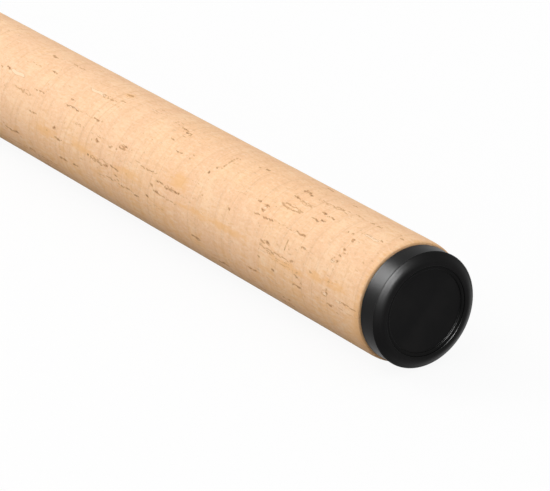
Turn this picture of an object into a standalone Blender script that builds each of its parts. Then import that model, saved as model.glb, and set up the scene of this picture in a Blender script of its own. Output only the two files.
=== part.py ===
"""Telescopic spinning rod, closed for carrying and lying on its side.

The rod runs along X, with the end disc of its butt cap at the origin and its tip towards +X. The
line guides and the flat deck of the reel seat face -Y, and +Z is up. All sizes are in metres.
"""

import math

import bmesh
import bpy
from mathutils import Vector

# Clearances
SEAT_GAP = 0.0003  # between two pieces that touch on the real rod
RUNNING_GAP = 0.0003  # between a section and the bore that it runs in, where they are closest
TOOL_REACH = 0.0030  # how far a cutting shape runs past the face that it cuts
SHARP_DEGREES = 35.0  # an edge that turns more than this is shown sharp

# Butt cap, a collar with a lip and a recessed end disc
CAP_LENGTH = 0.00585
CAP_LIP_RADIUS = 0.01337
CAP_LIP_BACK = 0.0013  # from the rim plane to where the lip is widest
CAP_NECK_RADIUS = 0.01324
CAP_NECK_BACK = 0.0020
CAP_COLLAR_RADIUS = 0.0135
CAP_NECK_RISE = 0.00006  # from the neck to the rear edge of the collar
CAP_EDGE_ROUND = 0.0003
RIM_FACE_RADIUS = 0.0125  # outer edge of the flat rim
RIM_CHAMFER = 0.00025
RIM_CREASE = 1.35  # above 1, the lip leaves the flat rim with a crease
RIM_STEP = 0.0006  # how far the rim stands proud of the disc
DISC_RADIUS = 0.0101
DISC_THICKNESS = 0.0013
DISC_CHAMFER = 0.0002
STUB_LENGTH = 0.0115
PAD_SPIGOT_RADIUS = 0.0030
PAD_SPIGOT_LENGTH = 0.0070

# Threaded bush in the end of the butt section, and the pad that the sections rest against
BUSH_FLANGE_LENGTH = 0.0078
BUSH_SPIGOT_LENGTH = 0.0100
BUSH_SPIGOT_WALL = 0.0005
PAD_LENGTH = 0.0160
PAD_RADIUS = 0.0069
PAD_ROUND = 0.0015

# Cork grips
GRIP_RADIUS = 0.0140
REAR_GRIP_LENGTH = 0.2400
REAR_SHOULDER_DROP = 0.00045
REAR_SHOULDER_RUN = 0.0026
FRONT_SHOULDER_DROP = 0.0011
FRONT_SHOULDER_RUN = 0.0040
FORE_GRIP_LENGTH = 0.0550
FORE_GRIP_REAR_RADIUS = 0.0130
FORE_GRIP_FRONT_RADIUS = 0.0114
FORE_GRIP_ROUND = 0.0020
FORE_GRIP_DROP = 0.0010
FORE_GRIP_STATIONS = (0.35, 0.6, 0.8)  # shares of its length, along the taper

# Trim rings at the ends of the grips
TRIM_LENGTH = 0.0035
REAR_TRIM_RADIUS = 0.0129
FRONT_TRIM_RADIUS = 0.0108
TRIM_ROUND = 0.0007

# Reel seat
SEAT_LENGTH = 0.1120
SEAT_RADIUS = 0.0113
SEAT_WALL = 0.0011
SEAT_FLANGE_RISE = 0.0013  # above the barrel
SEAT_FLANGE_LENGTH = 0.0030
SEAT_FLANGE_ROUND = 0.0005
DECK_RISE = 0.0006  # of the flat that the reel foot lies on, above the barrel
DECK_WIDTH = 0.0128
DECK_CHAMFER = 0.0006
DECK_END_GAP = 0.0010
DECK_ROOT = 0.75  # how near the axis the deck's block starts, as a share of the bore
KEY_WIDTH = 0.0030
KEY_DEPTH = 0.0006
ARBOR_LENGTH = 0.0120
ARBOR_INSET = 0.0040

# Hoods that hold the reel foot, their liners, and the nut that drives the sliding one
HOOD_LENGTH = 0.0260
HOOD_RING_WALL = 0.0014
HOOD_CREST_RISE = 0.0070  # of the top of the mouth, above the ring
HOOD_WALL = 0.0013
HOOD_EDGE_ROUND = 0.0006
HOOD_EDGE_SHARE = 0.03  # share of the hood's length that an end's rounding takes
HOOD_CLOSED_SHARE = 0.08  # share of the hood's length that stays a plain ring
HOOD_SWELL_DEGREES = 45.0  # half the width of the swelling over the reel foot
POCKET_SWELL_DEGREES = 43.0
KEY_INSET_SHARE = 0.04  # share of the hood's length between its closed end and its key
HOOD_STATIONS = (0.0, 0.03, 0.14, 0.28, 0.45, 0.65, 0.85, 0.97, 1.0)  # shares of its length
POCKET_STATIONS = (0.0, 0.2, 0.55, 1.0)  # shares of the pocket's depth
POCKET_DEPTH = 0.0180
FOOT_SPACE_OPEN = 0.0700  # between the two pocket ends, with the sliding hood wide open
HOOD_TRAVEL = 0.0200
LINER_THICKNESS = 0.0008
LINER_INSET = 0.0010
LINER_DEGREES = 33.0  # half the width of a liner
NUT_LENGTH = 0.0110
NUT_WALL = 0.0021
NUT_FLUTE_DEPTH = 0.0006
NUT_CHAMFER = 0.0008

# Nested sections
BUTT_FRONT = 0.5050  # front end of the butt section
BUTT_REAR_RADIUS = 0.0092
BUTT_WALL = 0.0010
SECTION_2_WALL = 0.0008
SECTION_3_WALL = 0.0007
SECTION_4_WALL = 0.0006
BLANK_TAPER_RATIO = 0.0016  # radius lost along a length, as a share of it
TIP_TAPER_RATIO = 0.0020
JAM_OVERLAP = 0.0450  # how far a section stays inside the next when it is pulled out

# Winding and ferrule ring at the front of the butt section
FERRULE_LENGTH = 0.0100
FERRULE_WALL = 0.0006
FERRULE_ROUND = 0.0002
WINDING_LENGTH = 0.0220
WINDING_HEIGHT = 0.0006
WINDING_TURN = 0.95  # under 1, its front edge stands up against the ferrule ring
WINDING_FULLNESS = 0.4  # under 1, the coat rises steeply and is level along the middle

# Line guides, from the largest to the one at the tip
GUIDE_TUBE_WALL = 0.0006
BAND_SOFTNESS = 0.2  # share of a band's width that each edge's chamfer takes
GUIDE_RING_SHARE = 0.55  # how far along its tube a guide's ring stands
LEG_FOOT_DEGREES = 38.0  # from the middle of the guide's side of the tube to each leg's foot
LEG_TOP_DEGREES = 62.0  # from the bottom of the ring to the top of each leg
LEG_RUN_SHARE = 0.45  # how much of the tube a leg runs along before it bends
STRUT_RUN_SHARE = 0.27  # the same for the strut, which starts at the front
STRUT_RISE_SHARE = 0.4  # how far up to the ring the strut's second bend stands
WIRE_SINK = 0.6  # how much of a wire's radius is sunk in the ring's band
WIRE_RISE = 0.15  # how much of a wire's radius its middle stands above the tube
GUIDE_2_TUBE_LENGTH = 0.0197
GUIDE_2_HOLE_RADIUS = 0.0098
GUIDE_2_INSERT_DEPTH = 0.0026
GUIDE_2_BAND = 0.0013
GUIDE_2_STANDOFF = 0.0026
GUIDE_2_WIRE_RADIUS = 0.00105
GUIDE_3_TUBE_LENGTH = 0.0177
GUIDE_3_HOLE_RADIUS = 0.0062
GUIDE_3_INSERT_DEPTH = 0.0019
GUIDE_3_BAND = 0.0011
GUIDE_3_STANDOFF = 0.0022
GUIDE_3_WIRE_RADIUS = 0.0009
FLOAT_A_TUBE_LENGTH = 0.0100
FLOAT_A_HOLE_RADIUS = 0.0046
FLOAT_A_INSERT_DEPTH = 0.0015
FLOAT_A_BAND = 0.0010
FLOAT_A_STANDOFF = 0.0018
FLOAT_A_WIRE_RADIUS = 0.00075
GUIDE_4_TUBE_LENGTH = 0.0147
GUIDE_4_HOLE_RADIUS = 0.0038
GUIDE_4_INSERT_DEPTH = 0.0013
GUIDE_4_BAND = 0.0009
GUIDE_4_STANDOFF = 0.0016
GUIDE_4_WIRE_RADIUS = 0.0007
FLOAT_B_TUBE_LENGTH = 0.0080
FLOAT_B_HOLE_RADIUS = 0.0030
FLOAT_B_INSERT_DEPTH = 0.0011
FLOAT_B_BAND = 0.0008
FLOAT_B_STANDOFF = 0.0014
FLOAT_B_WIRE_RADIUS = 0.0006
TIP_TUBE_LENGTH = 0.0120
TIP_HOLE_RADIUS = 0.0026
TIP_INSERT_DEPTH = 0.0010
TIP_BAND = 0.0008
TIP_RING_AHEAD = 0.0070  # from the front of the tube to the middle of the ring
TIP_RING_DROP = 0.0034  # from the rod's axis to the middle of the ring
TIP_WIRE_RADIUS = 0.0006
TIP_LEG_DEGREES = 125.0  # from the top leg to each of the lower ones
TIP_LEG_SHARE = 0.4  # how much of the way to the ring each leg runs straight up to it

# Facets
ARC_MIDDLE = 1.0 - math.sqrt(0.5)  # share of a rounding's radius, at the middle of its arc
LIP_STEPS = 4
SHOULDER_STEPS = 4
FORE_STEPS = 2
WINDING_STEPS = 5
FINE_FACETS = 36
BLANK_FACETS = 20
SMALL_FACETS = 16
WIRE_SIDES = 6
WIRE_POINTS = 7

MATERIALS = {
    "black_anodised": ((0.015, 0.015, 0.017, 1.0), 0.28, 1.0),
    "end_disc_black": ((0.012, 0.012, 0.013, 1.0), 0.22, 0.0),
    "cork": ((0.84, 0.62, 0.40, 1.0), 0.72, 0.0),
    "graphite_blank": ((0.020, 0.021, 0.024, 1.0), 0.16, 0.0),
    "seat_black": ((0.018, 0.018, 0.019, 1.0), 0.35, 0.0),
    "polished_steel": ((0.60, 0.60, 0.61, 1.0), 0.14, 1.0),
    "black_steel": ((0.03, 0.03, 0.032, 1.0), 0.25, 1.0),
    "guide_ceramic": ((0.05, 0.05, 0.055, 1.0), 0.08, 0.0),
    "rubber": ((0.02, 0.02, 0.02, 1.0), 0.80, 0.0),
    "liner_plastic": ((0.03, 0.03, 0.03, 1.0), 0.50, 0.0),
    "arbor_foam": ((0.45, 0.42, 0.36, 1.0), 0.90, 0.0),
    "brass": ((0.60, 0.46, 0.20, 1.0), 0.30, 1.0),
    "winding_thread": ((0.05, 0.01, 0.01, 1.0), 0.12, 0.0),
}


class Tube:
    """A tapered tube along X: its radius falls by taper for each metre from rear to front."""

    def __init__(self, rear, front, rear_radius, taper, wall):
        self.rear = rear
        self.front = front
        self.rear_radius = rear_radius
        self.taper = taper
        self.wall = wall

    def outer(self, x):
        return self.rear_radius - self.taper * (x - self.rear)

    def bore(self, x):
        return self.outer(x) - self.wall

    def next_radius(self):
        """Rear radius of the section that jams in this one with JAM_OVERLAP left inside."""
        return self.bore(self.front - JAM_OVERLAP) - RUNNING_GAP


class Guide:
    """The sizes of one line guide, worked out from its tube, its hole and its standoff."""

    def __init__(self, rear, length, bore, hole, insert_depth, band, standoff, wire):
        self.rear = rear
        self.front = rear + length
        self.bore = bore
        self.tube_radius = bore + GUIDE_TUBE_WALL
        self.hole = hole
        self.insert_outer = hole + insert_depth
        self.band_inner = self.insert_outer + SEAT_GAP
        self.band_outer = self.band_inner + band
        self.band_width = 2.0 * band
        self.insert_width = self.band_width + insert_depth / 2.0
        self.height = self.tube_radius + standoff + self.band_outer
        self.ring_x = rear + GUIDE_RING_SHARE * length
        self.wire = wire


# Where the pieces lie along the rod
rim_x = -RIM_STEP
cap_back = rim_x + CAP_LENGTH
grip_rear = cap_back + SEAT_GAP
grip_front = grip_rear + REAR_GRIP_LENGTH
blank_rear = grip_rear + BUSH_FLANGE_LENGTH + SEAT_GAP
stub_front = cap_back + STUB_LENGTH
pad_rear = stub_front + SEAT_GAP
pad_front = pad_rear + PAD_LENGTH
sections_rear = pad_front + SEAT_GAP
rear_trim = grip_front + SEAT_GAP
seat_rear = rear_trim + TRIM_LENGTH + SEAT_GAP
seat_front = seat_rear + SEAT_LENGTH
fore_rear = seat_front + SEAT_GAP
fore_front = fore_rear + FORE_GRIP_LENGTH
front_trim = fore_front + SEAT_GAP
fixed_hood_rear = seat_rear + SEAT_FLANGE_LENGTH + SEAT_GAP
fixed_hood_mouth = fixed_hood_rear + HOOD_LENGTH
fixed_pocket_end = fixed_hood_mouth - POCKET_DEPTH
sliding_pocket_end = fixed_pocket_end + FOOT_SPACE_OPEN
sliding_hood_mouth = sliding_pocket_end - POCKET_DEPTH
sliding_hood_front = sliding_hood_mouth + HOOD_LENGTH
nut_rear = sliding_hood_front + SEAT_GAP
deck_rear = fixed_hood_mouth + DECK_END_GAP
deck_front = min(sliding_hood_mouth, sliding_pocket_end - HOOD_TRAVEL) - DECK_END_GAP

# The nested sections and their guides, each stacked on the front end of the one before
butt = Tube(blank_rear, BUTT_FRONT, BUTT_REAR_RADIUS, BLANK_TAPER_RATIO, BUTT_WALL)
guide_2_rear = BUTT_FRONT + SEAT_GAP
section_2_front = guide_2_rear + GUIDE_2_TUBE_LENGTH
guide_3_rear = section_2_front + SEAT_GAP
section_3_front = guide_3_rear + GUIDE_3_TUBE_LENGTH
float_a_rear = section_3_front + SEAT_GAP
guide_4_rear = float_a_rear + FLOAT_A_TUBE_LENGTH + SEAT_GAP
section_4_front = guide_4_rear + GUIDE_4_TUBE_LENGTH
float_b_rear = section_4_front + SEAT_GAP
tip_tube_rear = float_b_rear + FLOAT_B_TUBE_LENGTH + SEAT_GAP
section_5_front = tip_tube_rear + TIP_TUBE_LENGTH - SEAT_GAP

section_2 = Tube(sections_rear, section_2_front, butt.next_radius(), BLANK_TAPER_RATIO, SECTION_2_WALL)
section_3 = Tube(sections_rear, section_3_front, section_2.next_radius(), BLANK_TAPER_RATIO, SECTION_3_WALL)
section_4 = Tube(sections_rear, section_4_front, section_3.next_radius(), BLANK_TAPER_RATIO, SECTION_4_WALL)
section_5 = Tube(sections_rear, section_5_front, section_4.next_radius(), TIP_TAPER_RATIO, 0.0)


def travel(outer, inner):
    """How far a section slides out before it jams in the front of the one around it."""
    return outer.front - JAM_OVERLAP - inner.rear


def float_bore(outer, inner, rear):
    """Bore of a floating guide that jams half-way along the pulled-out part of its section."""
    slid = travel(outer, inner)
    return inner.outer(rear - slid / 2.0) + SEAT_GAP


# Turned end fittings of the butt
bush_bore = section_2.rear_radius + RUNNING_GAP
stub_radius = bush_bore - SEAT_GAP
bush_spigot_radius = bush_bore + BUSH_SPIGOT_WALL

# Radii of the reel seat's pieces, built out from its barrel
seat_bore = SEAT_RADIUS - SEAT_WALL
flange_radius = SEAT_RADIUS + SEAT_FLANGE_RISE
deck_height = SEAT_RADIUS + DECK_RISE
hood_bore = SEAT_RADIUS + SEAT_GAP
hood_ring_radius = hood_bore + HOOD_RING_WALL
hood_crest = hood_ring_radius + HOOD_CREST_RISE
nut_radius = hood_bore + NUT_WALL


def material(name):
    """The named material, made the first time that a piece asks for it."""
    found = bpy.data.materials.get(name)
    if found:
        return found
    colour, roughness, metallic = MATERIALS[name]
    made = bpy.data.materials.new(name)
    made.use_nodes = True
    shader = made.node_tree.nodes["Principled BSDF"]
    shader.inputs["Base Color"].default_value = colour
    shader.inputs["Roughness"].default_value = roughness
    shader.inputs["Metallic"].default_value = metallic
    made.diffuse_color = colour
    return made


def finish_mesh(bm, name):
    """Closes seams and poles, points every face outwards and returns the mesh."""
    bmesh.ops.remove_doubles(bm, verts=bm.verts, dist=1e-6)
    bmesh.ops.recalc_face_normals(bm, faces=bm.faces)
    mesh = bpy.data.meshes.new(name)
    bm.to_mesh(mesh)
    bm.free()
    mesh.shade_smooth()
    mesh.set_sharp_from_angle(angle=math.radians(SHARP_DEGREES))
    return mesh


def place(mesh, name, material_name, location, parent=None):
    """Links a mesh as an object at a world location, under its body's empty."""
    mesh.materials.clear()
    mesh.materials.append(material(material_name))
    obj = bpy.data.objects.new(name, mesh)
    bpy.context.scene.collection.objects.link(obj)
    hang(obj, Vector(location), parent)
    return obj


def hang(obj, location, parent):
    """Parents obj to a body's empty and keeps it at the given world location."""
    obj.parent = parent
    origin = Vector((0.0, 0.0, 0.0))
    up = parent
    while up is not None:
        origin += up.location
        up = up.parent
    obj.location = location - origin


def body(name, x, parent=None):
    """An empty on the rod's axis that carries one moving body."""
    empty = bpy.data.objects.new(name, None)
    bpy.context.scene.collection.objects.link(empty)
    empty.empty_display_size = 0.01
    hang(empty, Vector((x, 0.0, 0.0)), parent)
    return empty


def turned_mesh(name, profile, facets):
    """A turned solid about X. The profile is a list of (x, radius) points: a closed loop, or a line
    that starts and ends on the axis with a flat end face. A facet faces straight down."""
    bm = bmesh.new()
    half_step = math.pi / facets
    solid = profile[0][1] == 0.0
    if solid:
        profile = profile[1:-1]
    points = [(x, r * math.sin(half_step), r * math.cos(half_step)) for x, r in profile]
    verts = [bm.verts.new(p) for p in points]
    edges = [bm.edges.new(pair) for pair in zip(verts, verts[1:])]
    if not solid:
        edges.append(bm.edges.new((verts[-1], verts[0])))
    bmesh.ops.spin(
        bm,
        geom=verts + edges,
        cent=(0.0, 0.0, 0.0),
        axis=(1.0, 0.0, 0.0),
        dvec=(0.0, 0.0, 0.0),
        angle=2.0 * math.pi,
        steps=facets,
        use_merge=True,
        use_duplicate=False,
    )
    if solid:
        rims = [e for e in bm.edges if len(e.link_faces) == 1]
        bmesh.ops.holes_fill(bm, edges=rims, sides=0)
    return finish_mesh(bm, name)


def turned(name, material_name, profile, origin_x, parent=None, facets=FINE_FACETS):
    """A turned piece on the rod's axis. Its profile is in world x, its origin at origin_x."""
    local = [(x - origin_x, r) for x, r in profile]
    return place(turned_mesh(name, local, facets), name, material_name, (origin_x, 0, 0), parent)


def rounded_sleeve(rear, front, rear_bore, front_bore, outer, rounding, steps=2):
    """Closed profile of a sleeve whose two outer edges are rounded."""
    profile = [(rear, rear_bore)]
    for i in range(steps + 1):
        a = math.pi / 2.0 * i / steps
        profile.append((rear + rounding * (1.0 - math.cos(a)), outer - rounding * (1.0 - math.sin(a))))
    for i in range(steps + 1):
        a = math.pi / 2.0 * i / steps
        profile.append((front - rounding * (1.0 - math.sin(a)), outer - rounding * (1.0 - math.cos(a))))
    profile.append((front, front_bore))
    return profile


def cutter(obj):
    """Marks obj as a tool shape that is only there for a Boolean."""
    obj.hide_render = True
    obj.display_type = "WIRE"
    return obj


def boolean(obj, tool, operation):
    """Adds an exact Boolean of obj with tool, which stays hidden."""
    change = obj.modifiers.new(operation.lower() + "_" + tool.name, "BOOLEAN")
    change.operation = operation
    change.solver = "EXACT"
    change.object = cutter(tool)
    return obj


def lofted_mesh(name, stations, radius_at, facets):
    """A closed solid around X. radius_at(angle, x) is its radius, with angle 0 towards -Y."""
    bm = bmesh.new()
    rings = []
    for x in stations:
        ring = []
        for j in range(facets):
            angle = 2.0 * math.pi * (j + 0.5) / facets
            angle = (angle + math.pi) % (2.0 * math.pi) - math.pi
            r = radius_at(angle, x)
            ring.append(bm.verts.new((x, -r * math.cos(angle), r * math.sin(angle))))
        rings.append(ring)
    for first, second in zip(rings, rings[1:]):
        for j in range(facets):
            k = (j + 1) % facets
            bm.faces.new((first[j], first[k], second[k], second[j]))
    bm.faces.new(rings[0])
    bm.faces.new(rings[-1])
    return finish_mesh(bm, name)


def block_mesh(name, low, high):
    """A plain box between two corners."""
    bm = bmesh.new()
    bmesh.ops.create_cube(bm, size=1.0)
    size = [b - a for a, b in zip(low, high)]
    middle = [(a + b) / 2.0 for a, b in zip(low, high)]
    bmesh.ops.scale(bm, vec=size, verts=bm.verts)
    bmesh.ops.translate(bm, vec=middle, verts=bm.verts)
    return finish_mesh(bm, name)


def wire_mesh(name, ends, handles, radius, count):
    """A bent wire: a tube along the cubic curve with these ends and handles, closed at both ends."""
    a, d = (Vector(p) for p in ends)
    b, c = (Vector(p) for p in handles)
    curve = bpy.data.curves.new(name, "CURVE")
    curve.dimensions = "3D"
    curve.bevel_depth = radius
    curve.bevel_resolution = (WIRE_SIDES - 4) // 2
    curve.use_fill_caps = True
    spline = curve.splines.new("POLY")
    spline.points.add(count - 1)
    for i, point in enumerate(spline.points):
        t = i / (count - 1)
        s = 1.0 - t
        p = a * s**3 + b * (3.0 * s * s * t) + c * (3.0 * s * t * t) + d * t**3
        point.co = (p.x, p.y, p.z, 1.0)
    holder = bpy.data.objects.new(name + "_curve", curve)
    bpy.context.scene.collection.objects.link(holder)
    bpy.context.view_layer.update()
    seen = holder.evaluated_get(bpy.context.evaluated_depsgraph_get())
    bm = bmesh.new()
    raw = bpy.data.meshes.new_from_object(seen)
    bm.from_mesh(raw)
    bpy.data.objects.remove(holder)
    bpy.data.meshes.remove(raw)
    return finish_mesh(bm, name)


def make_butt_cap(parent, pad_parent):
    """The screw-in cap: lip, collar, threaded stub, the pad's spigot and the end disc."""
    seat_radius = DISC_RADIUS + SEAT_GAP
    seat_floor = DISC_THICKNESS + SEAT_GAP
    lip_x = rim_x + CAP_LIP_BACK
    crown = CAP_LIP_RADIUS - RIM_FACE_RADIUS
    profile = [
        (seat_floor, 0.0),
        (seat_floor, seat_radius),
        (rim_x + RIM_CHAMFER, seat_radius),
        (rim_x, seat_radius + RIM_CHAMFER),
        (rim_x, RIM_FACE_RADIUS),
    ]
    for i in range(1, LIP_STEPS + 1):
        a = math.pi / 2.0 * i / LIP_STEPS
        x = rim_x + CAP_LIP_BACK * (1.0 - math.cos(a)) ** RIM_CREASE
        profile.append((x, RIM_FACE_RADIUS + crown * math.sin(a)))
    neck_x = rim_x + CAP_NECK_BACK
    profile += [
        ((lip_x + neck_x) / 2.0, (CAP_LIP_RADIUS + CAP_NECK_RADIUS) / 2.0),
        (neck_x, CAP_NECK_RADIUS),
        (neck_x + CAP_EDGE_ROUND, CAP_NECK_RADIUS + CAP_NECK_RISE),
        (cap_back - CAP_EDGE_ROUND, CAP_COLLAR_RADIUS),
        (cap_back - CAP_EDGE_ROUND * ARC_MIDDLE, CAP_COLLAR_RADIUS - CAP_EDGE_ROUND * ARC_MIDDLE),
        (cap_back, CAP_COLLAR_RADIUS - CAP_EDGE_ROUND),
        (cap_back, stub_radius),
        (stub_front - CAP_EDGE_ROUND, stub_radius),
        (stub_front, stub_radius - CAP_EDGE_ROUND),
        (stub_front, PAD_SPIGOT_RADIUS),
        (stub_front + PAD_SPIGOT_LENGTH, PAD_SPIGOT_RADIUS),
        (stub_front + PAD_SPIGOT_LENGTH, 0.0),
    ]
    turned("butt_cap", "black_anodised", profile, cap_back, parent)

    disc = [
        (0.0, 0.0),
        (0.0, DISC_RADIUS - DISC_CHAMFER),
        (DISC_CHAMFER, DISC_RADIUS),
        (DISC_THICKNESS, DISC_RADIUS),
        (DISC_THICKNESS, 0.0),
    ]
    turned("butt_cap_disc", "end_disc_black", disc, 0.0, parent)

    hole = PAD_SPIGOT_RADIUS + SEAT_GAP
    hole_end = stub_front + PAD_SPIGOT_LENGTH + SEAT_GAP
    pad = [
        (hole_end, 0.0),
        (hole_end, hole),
        (pad_rear, hole),
        (pad_rear, PAD_RADIUS),
        (pad_front - PAD_ROUND, PAD_RADIUS),
        (pad_front - PAD_ROUND * ARC_MIDDLE, PAD_RADIUS - PAD_ROUND * ARC_MIDDLE),
        (pad_front, PAD_RADIUS - PAD_ROUND),
        (pad_front, 0.0),
    ]
    turned("shock_pad", "rubber", pad, pad_rear, pad_parent, BLANK_FACETS)


def make_butt_section():
    """The handle's tube with its threaded bush, ferrule ring and winding."""
    bush = [
        (grip_rear, bush_bore),
        (grip_rear, BUTT_REAR_RADIUS),
        (blank_rear - SEAT_GAP, BUTT_REAR_RADIUS),
        (blank_rear - SEAT_GAP, bush_spigot_radius),
        (blank_rear + BUSH_SPIGOT_LENGTH, bush_spigot_radius),
        (blank_rear + BUSH_SPIGOT_LENGTH, bush_bore),
    ]
    turned("butt_bush", "brass", bush, grip_rear, None, BLANK_FACETS)
    make_tube("butt_blank", butt, None)
    ferrule_rear = BUTT_FRONT - FERRULE_LENGTH
    ferrule = rounded_sleeve(
        ferrule_rear,
        BUTT_FRONT,
        butt.outer(ferrule_rear) + SEAT_GAP,
        butt.outer(BUTT_FRONT) + SEAT_GAP,
        butt.outer(ferrule_rear) + SEAT_GAP + FERRULE_WALL,
        FERRULE_ROUND,
        1,
    )
    turned("butt_ferrule_ring", "black_anodised", ferrule, ferrule_rear, None, BLANK_FACETS)
    winding_front = ferrule_rear - SEAT_GAP
    winding_rear = winding_front - WINDING_LENGTH
    winding = [(winding_rear, butt.outer(winding_rear) + SEAT_GAP)]
    for i in range(1, WINDING_STEPS + 1):
        t = i / WINDING_STEPS
        x = winding_rear + WINDING_LENGTH * t
        swell = math.sin(math.pi * t * WINDING_TURN) ** WINDING_FULLNESS
        winding.append((x, butt.outer(x) + SEAT_GAP + WINDING_HEIGHT * swell))
    winding.append((winding_front, butt.outer(winding_front) + SEAT_GAP))
    turned("butt_winding", "winding_thread", winding, winding_rear, None, BLANK_FACETS)


def make_tube(name, tube, parent):
    """One tapered section, hollow where it has a wall and solid at the tip."""
    if tube.wall > 0.0:
        profile = [
            (tube.rear, tube.bore(tube.rear)),
            (tube.rear, tube.outer(tube.rear)),
            (tube.front, tube.outer(tube.front)),
            (tube.front, tube.bore(tube.front)),
        ]
    else:
        profile = [
            (tube.rear, 0.0),
            (tube.rear, tube.outer(tube.rear)),
            (tube.front, tube.outer(tube.front)),
            (tube.front, 0.0),
        ]
    turned(name, "graphite_blank", profile, tube.rear, parent, BLANK_FACETS)


def make_grips():
    """The two cork grips with the trim rings at their front ends."""
    shoulder = []
    for i in range(SHOULDER_STEPS + 1):
        a = math.pi / 2.0 * i / SHOULDER_STEPS
        x = grip_rear + REAR_SHOULDER_RUN * (1.0 - math.cos(a))
        shoulder.append((x, GRIP_RADIUS - REAR_SHOULDER_DROP * (1.0 - math.sin(a))))
    nose = []
    for i in range(SHOULDER_STEPS + 1):
        a = math.pi / 2.0 * i / SHOULDER_STEPS
        x = grip_front - FRONT_SHOULDER_RUN * (1.0 - math.sin(a))
        nose.append((x, GRIP_RADIUS - FRONT_SHOULDER_DROP * (1.0 - math.cos(a))))
    rear_bore = BUTT_REAR_RADIUS + SEAT_GAP
    front_bore = butt.outer(grip_front) + SEAT_GAP
    profile = [(grip_rear, rear_bore)] + shoulder + nose + [(grip_front, front_bore)]
    turned("rear_grip", "cork", profile, grip_rear)

    fore = [(fore_rear, butt.outer(fore_rear) + SEAT_GAP)]
    for i in range(FORE_STEPS + 1):
        a = math.pi / 2.0 * i / FORE_STEPS
        x = fore_rear + FORE_GRIP_ROUND * (1.0 - math.cos(a))
        fore.append((x, FORE_GRIP_REAR_RADIUS - FORE_GRIP_DROP * (1.0 - math.sin(a))))
    waist = FORE_GRIP_REAR_RADIUS - FORE_GRIP_FRONT_RADIUS
    for t in FORE_GRIP_STATIONS:
        x = fore_rear + FORE_GRIP_LENGTH * t
        fore.append((x, FORE_GRIP_REAR_RADIUS - waist * t * t))
    for i in range(FORE_STEPS + 1):
        a = math.pi / 2.0 * i / FORE_STEPS
        x = fore_front - FORE_GRIP_ROUND * (1.0 - math.sin(a))
        fore.append((x, FORE_GRIP_FRONT_RADIUS - FORE_GRIP_DROP * (1.0 - math.cos(a))))
    fore.append((fore_front, butt.outer(fore_front) + SEAT_GAP))
    turned("fore_grip", "cork", fore, fore_rear)

    for name, x, radius in (
        ("rear_trim_ring", rear_trim, REAR_TRIM_RADIUS),
        ("front_trim_ring", front_trim, FRONT_TRIM_RADIUS),
    ):
        bores = [butt.outer(end) + SEAT_GAP for end in (x, x + TRIM_LENGTH)]
        profile = rounded_sleeve(x, x + TRIM_LENGTH, *bores, radius, TRIM_ROUND, 1)
        turned(name, "black_anodised", profile, x)


def make_reel_seat():
    """The barrel with its flange, foot deck and keyway, and the arbors that fill it to the tube."""
    barrel = [
        (seat_rear, 0.0),
        (seat_rear, flange_radius - SEAT_FLANGE_ROUND),
        (seat_rear + SEAT_FLANGE_ROUND, flange_radius),
        (seat_rear + SEAT_FLANGE_LENGTH - SEAT_FLANGE_ROUND, flange_radius),
        (seat_rear + SEAT_FLANGE_LENGTH, flange_radius - SEAT_FLANGE_ROUND),
        (seat_rear + SEAT_FLANGE_LENGTH, SEAT_RADIUS),
        (seat_front - SEAT_FLANGE_ROUND, SEAT_RADIUS),
        (seat_front, SEAT_RADIUS - SEAT_FLANGE_ROUND),
        (seat_front, 0.0),
    ]
    seat = turned("reel_seat_body", "seat_black", barrel, seat_rear)

    bm = bmesh.new()
    bmesh.ops.create_cube(bm, size=1.0)
    depth = deck_height - seat_bore * DECK_ROOT
    bmesh.ops.scale(bm, vec=(deck_front - deck_rear, depth, DECK_WIDTH), verts=bm.verts)
    middle_y = depth / 2.0 - deck_height
    middle = ((deck_front + deck_rear) / 2.0, middle_y, 0.0)
    bmesh.ops.translate(bm, vec=middle, verts=bm.verts)
    top = [e for e in bm.edges if all(v.co.y < middle_y for v in e.verts)]
    bmesh.ops.bevel(bm, geom=top, offset=DECK_CHAMFER, segments=2, profile=0.5, affect="EDGES")
    deck = place(finish_mesh(bm, "deck_block"), "deck_block", "seat_black", (0, 0, 0))
    boolean(seat, deck, "UNION")

    low = (deck_front, SEAT_RADIUS - KEY_DEPTH, -KEY_WIDTH / 2.0)
    high = (seat_front + TOOL_REACH, SEAT_RADIUS + KEY_DEPTH, KEY_WIDTH / 2.0)
    keyway = place(block_mesh("keyway_tool", low, high), "keyway_tool", "seat_black", (0, 0, 0))
    boolean(seat, keyway, "DIFFERENCE")
    bore = [(seat_rear - TOOL_REACH, 0.0), (seat_rear - TOOL_REACH, seat_bore)]
    bore += [(seat_front + TOOL_REACH, seat_bore), (seat_front + TOOL_REACH, 0.0)]
    boolean(seat, turned("seat_bore_tool", "seat_black", bore, seat_rear), "DIFFERENCE")

    spacing = (SEAT_LENGTH - 2.0 * ARBOR_INSET - ARBOR_LENGTH) / 2.0
    for i, name in enumerate(("seat_arbor_rear", "seat_arbor_middle", "seat_arbor_front")):
        rear = seat_rear + ARBOR_INSET + spacing * i
        front = rear + ARBOR_LENGTH
        profile = [
            (rear, butt.outer(rear) + SEAT_GAP),
            (rear, seat_bore - SEAT_GAP),
            (front, seat_bore - SEAT_GAP),
            (front, butt.outer(front) + SEAT_GAP),
        ]
        turned(name, "arbor_foam", profile, rear, None, BLANK_FACETS)


def crest_at(u):
    """Height of a hood's crest, from its closed end at u = 0 to its mouth at u = 1."""
    t = min(max((u - HOOD_CLOSED_SHARE) / (1.0 - HOOD_CLOSED_SHARE), 0.0), 1.0)
    return hood_ring_radius + (hood_crest - hood_ring_radius) * (1.0 - (1.0 - t) ** 2)


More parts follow.
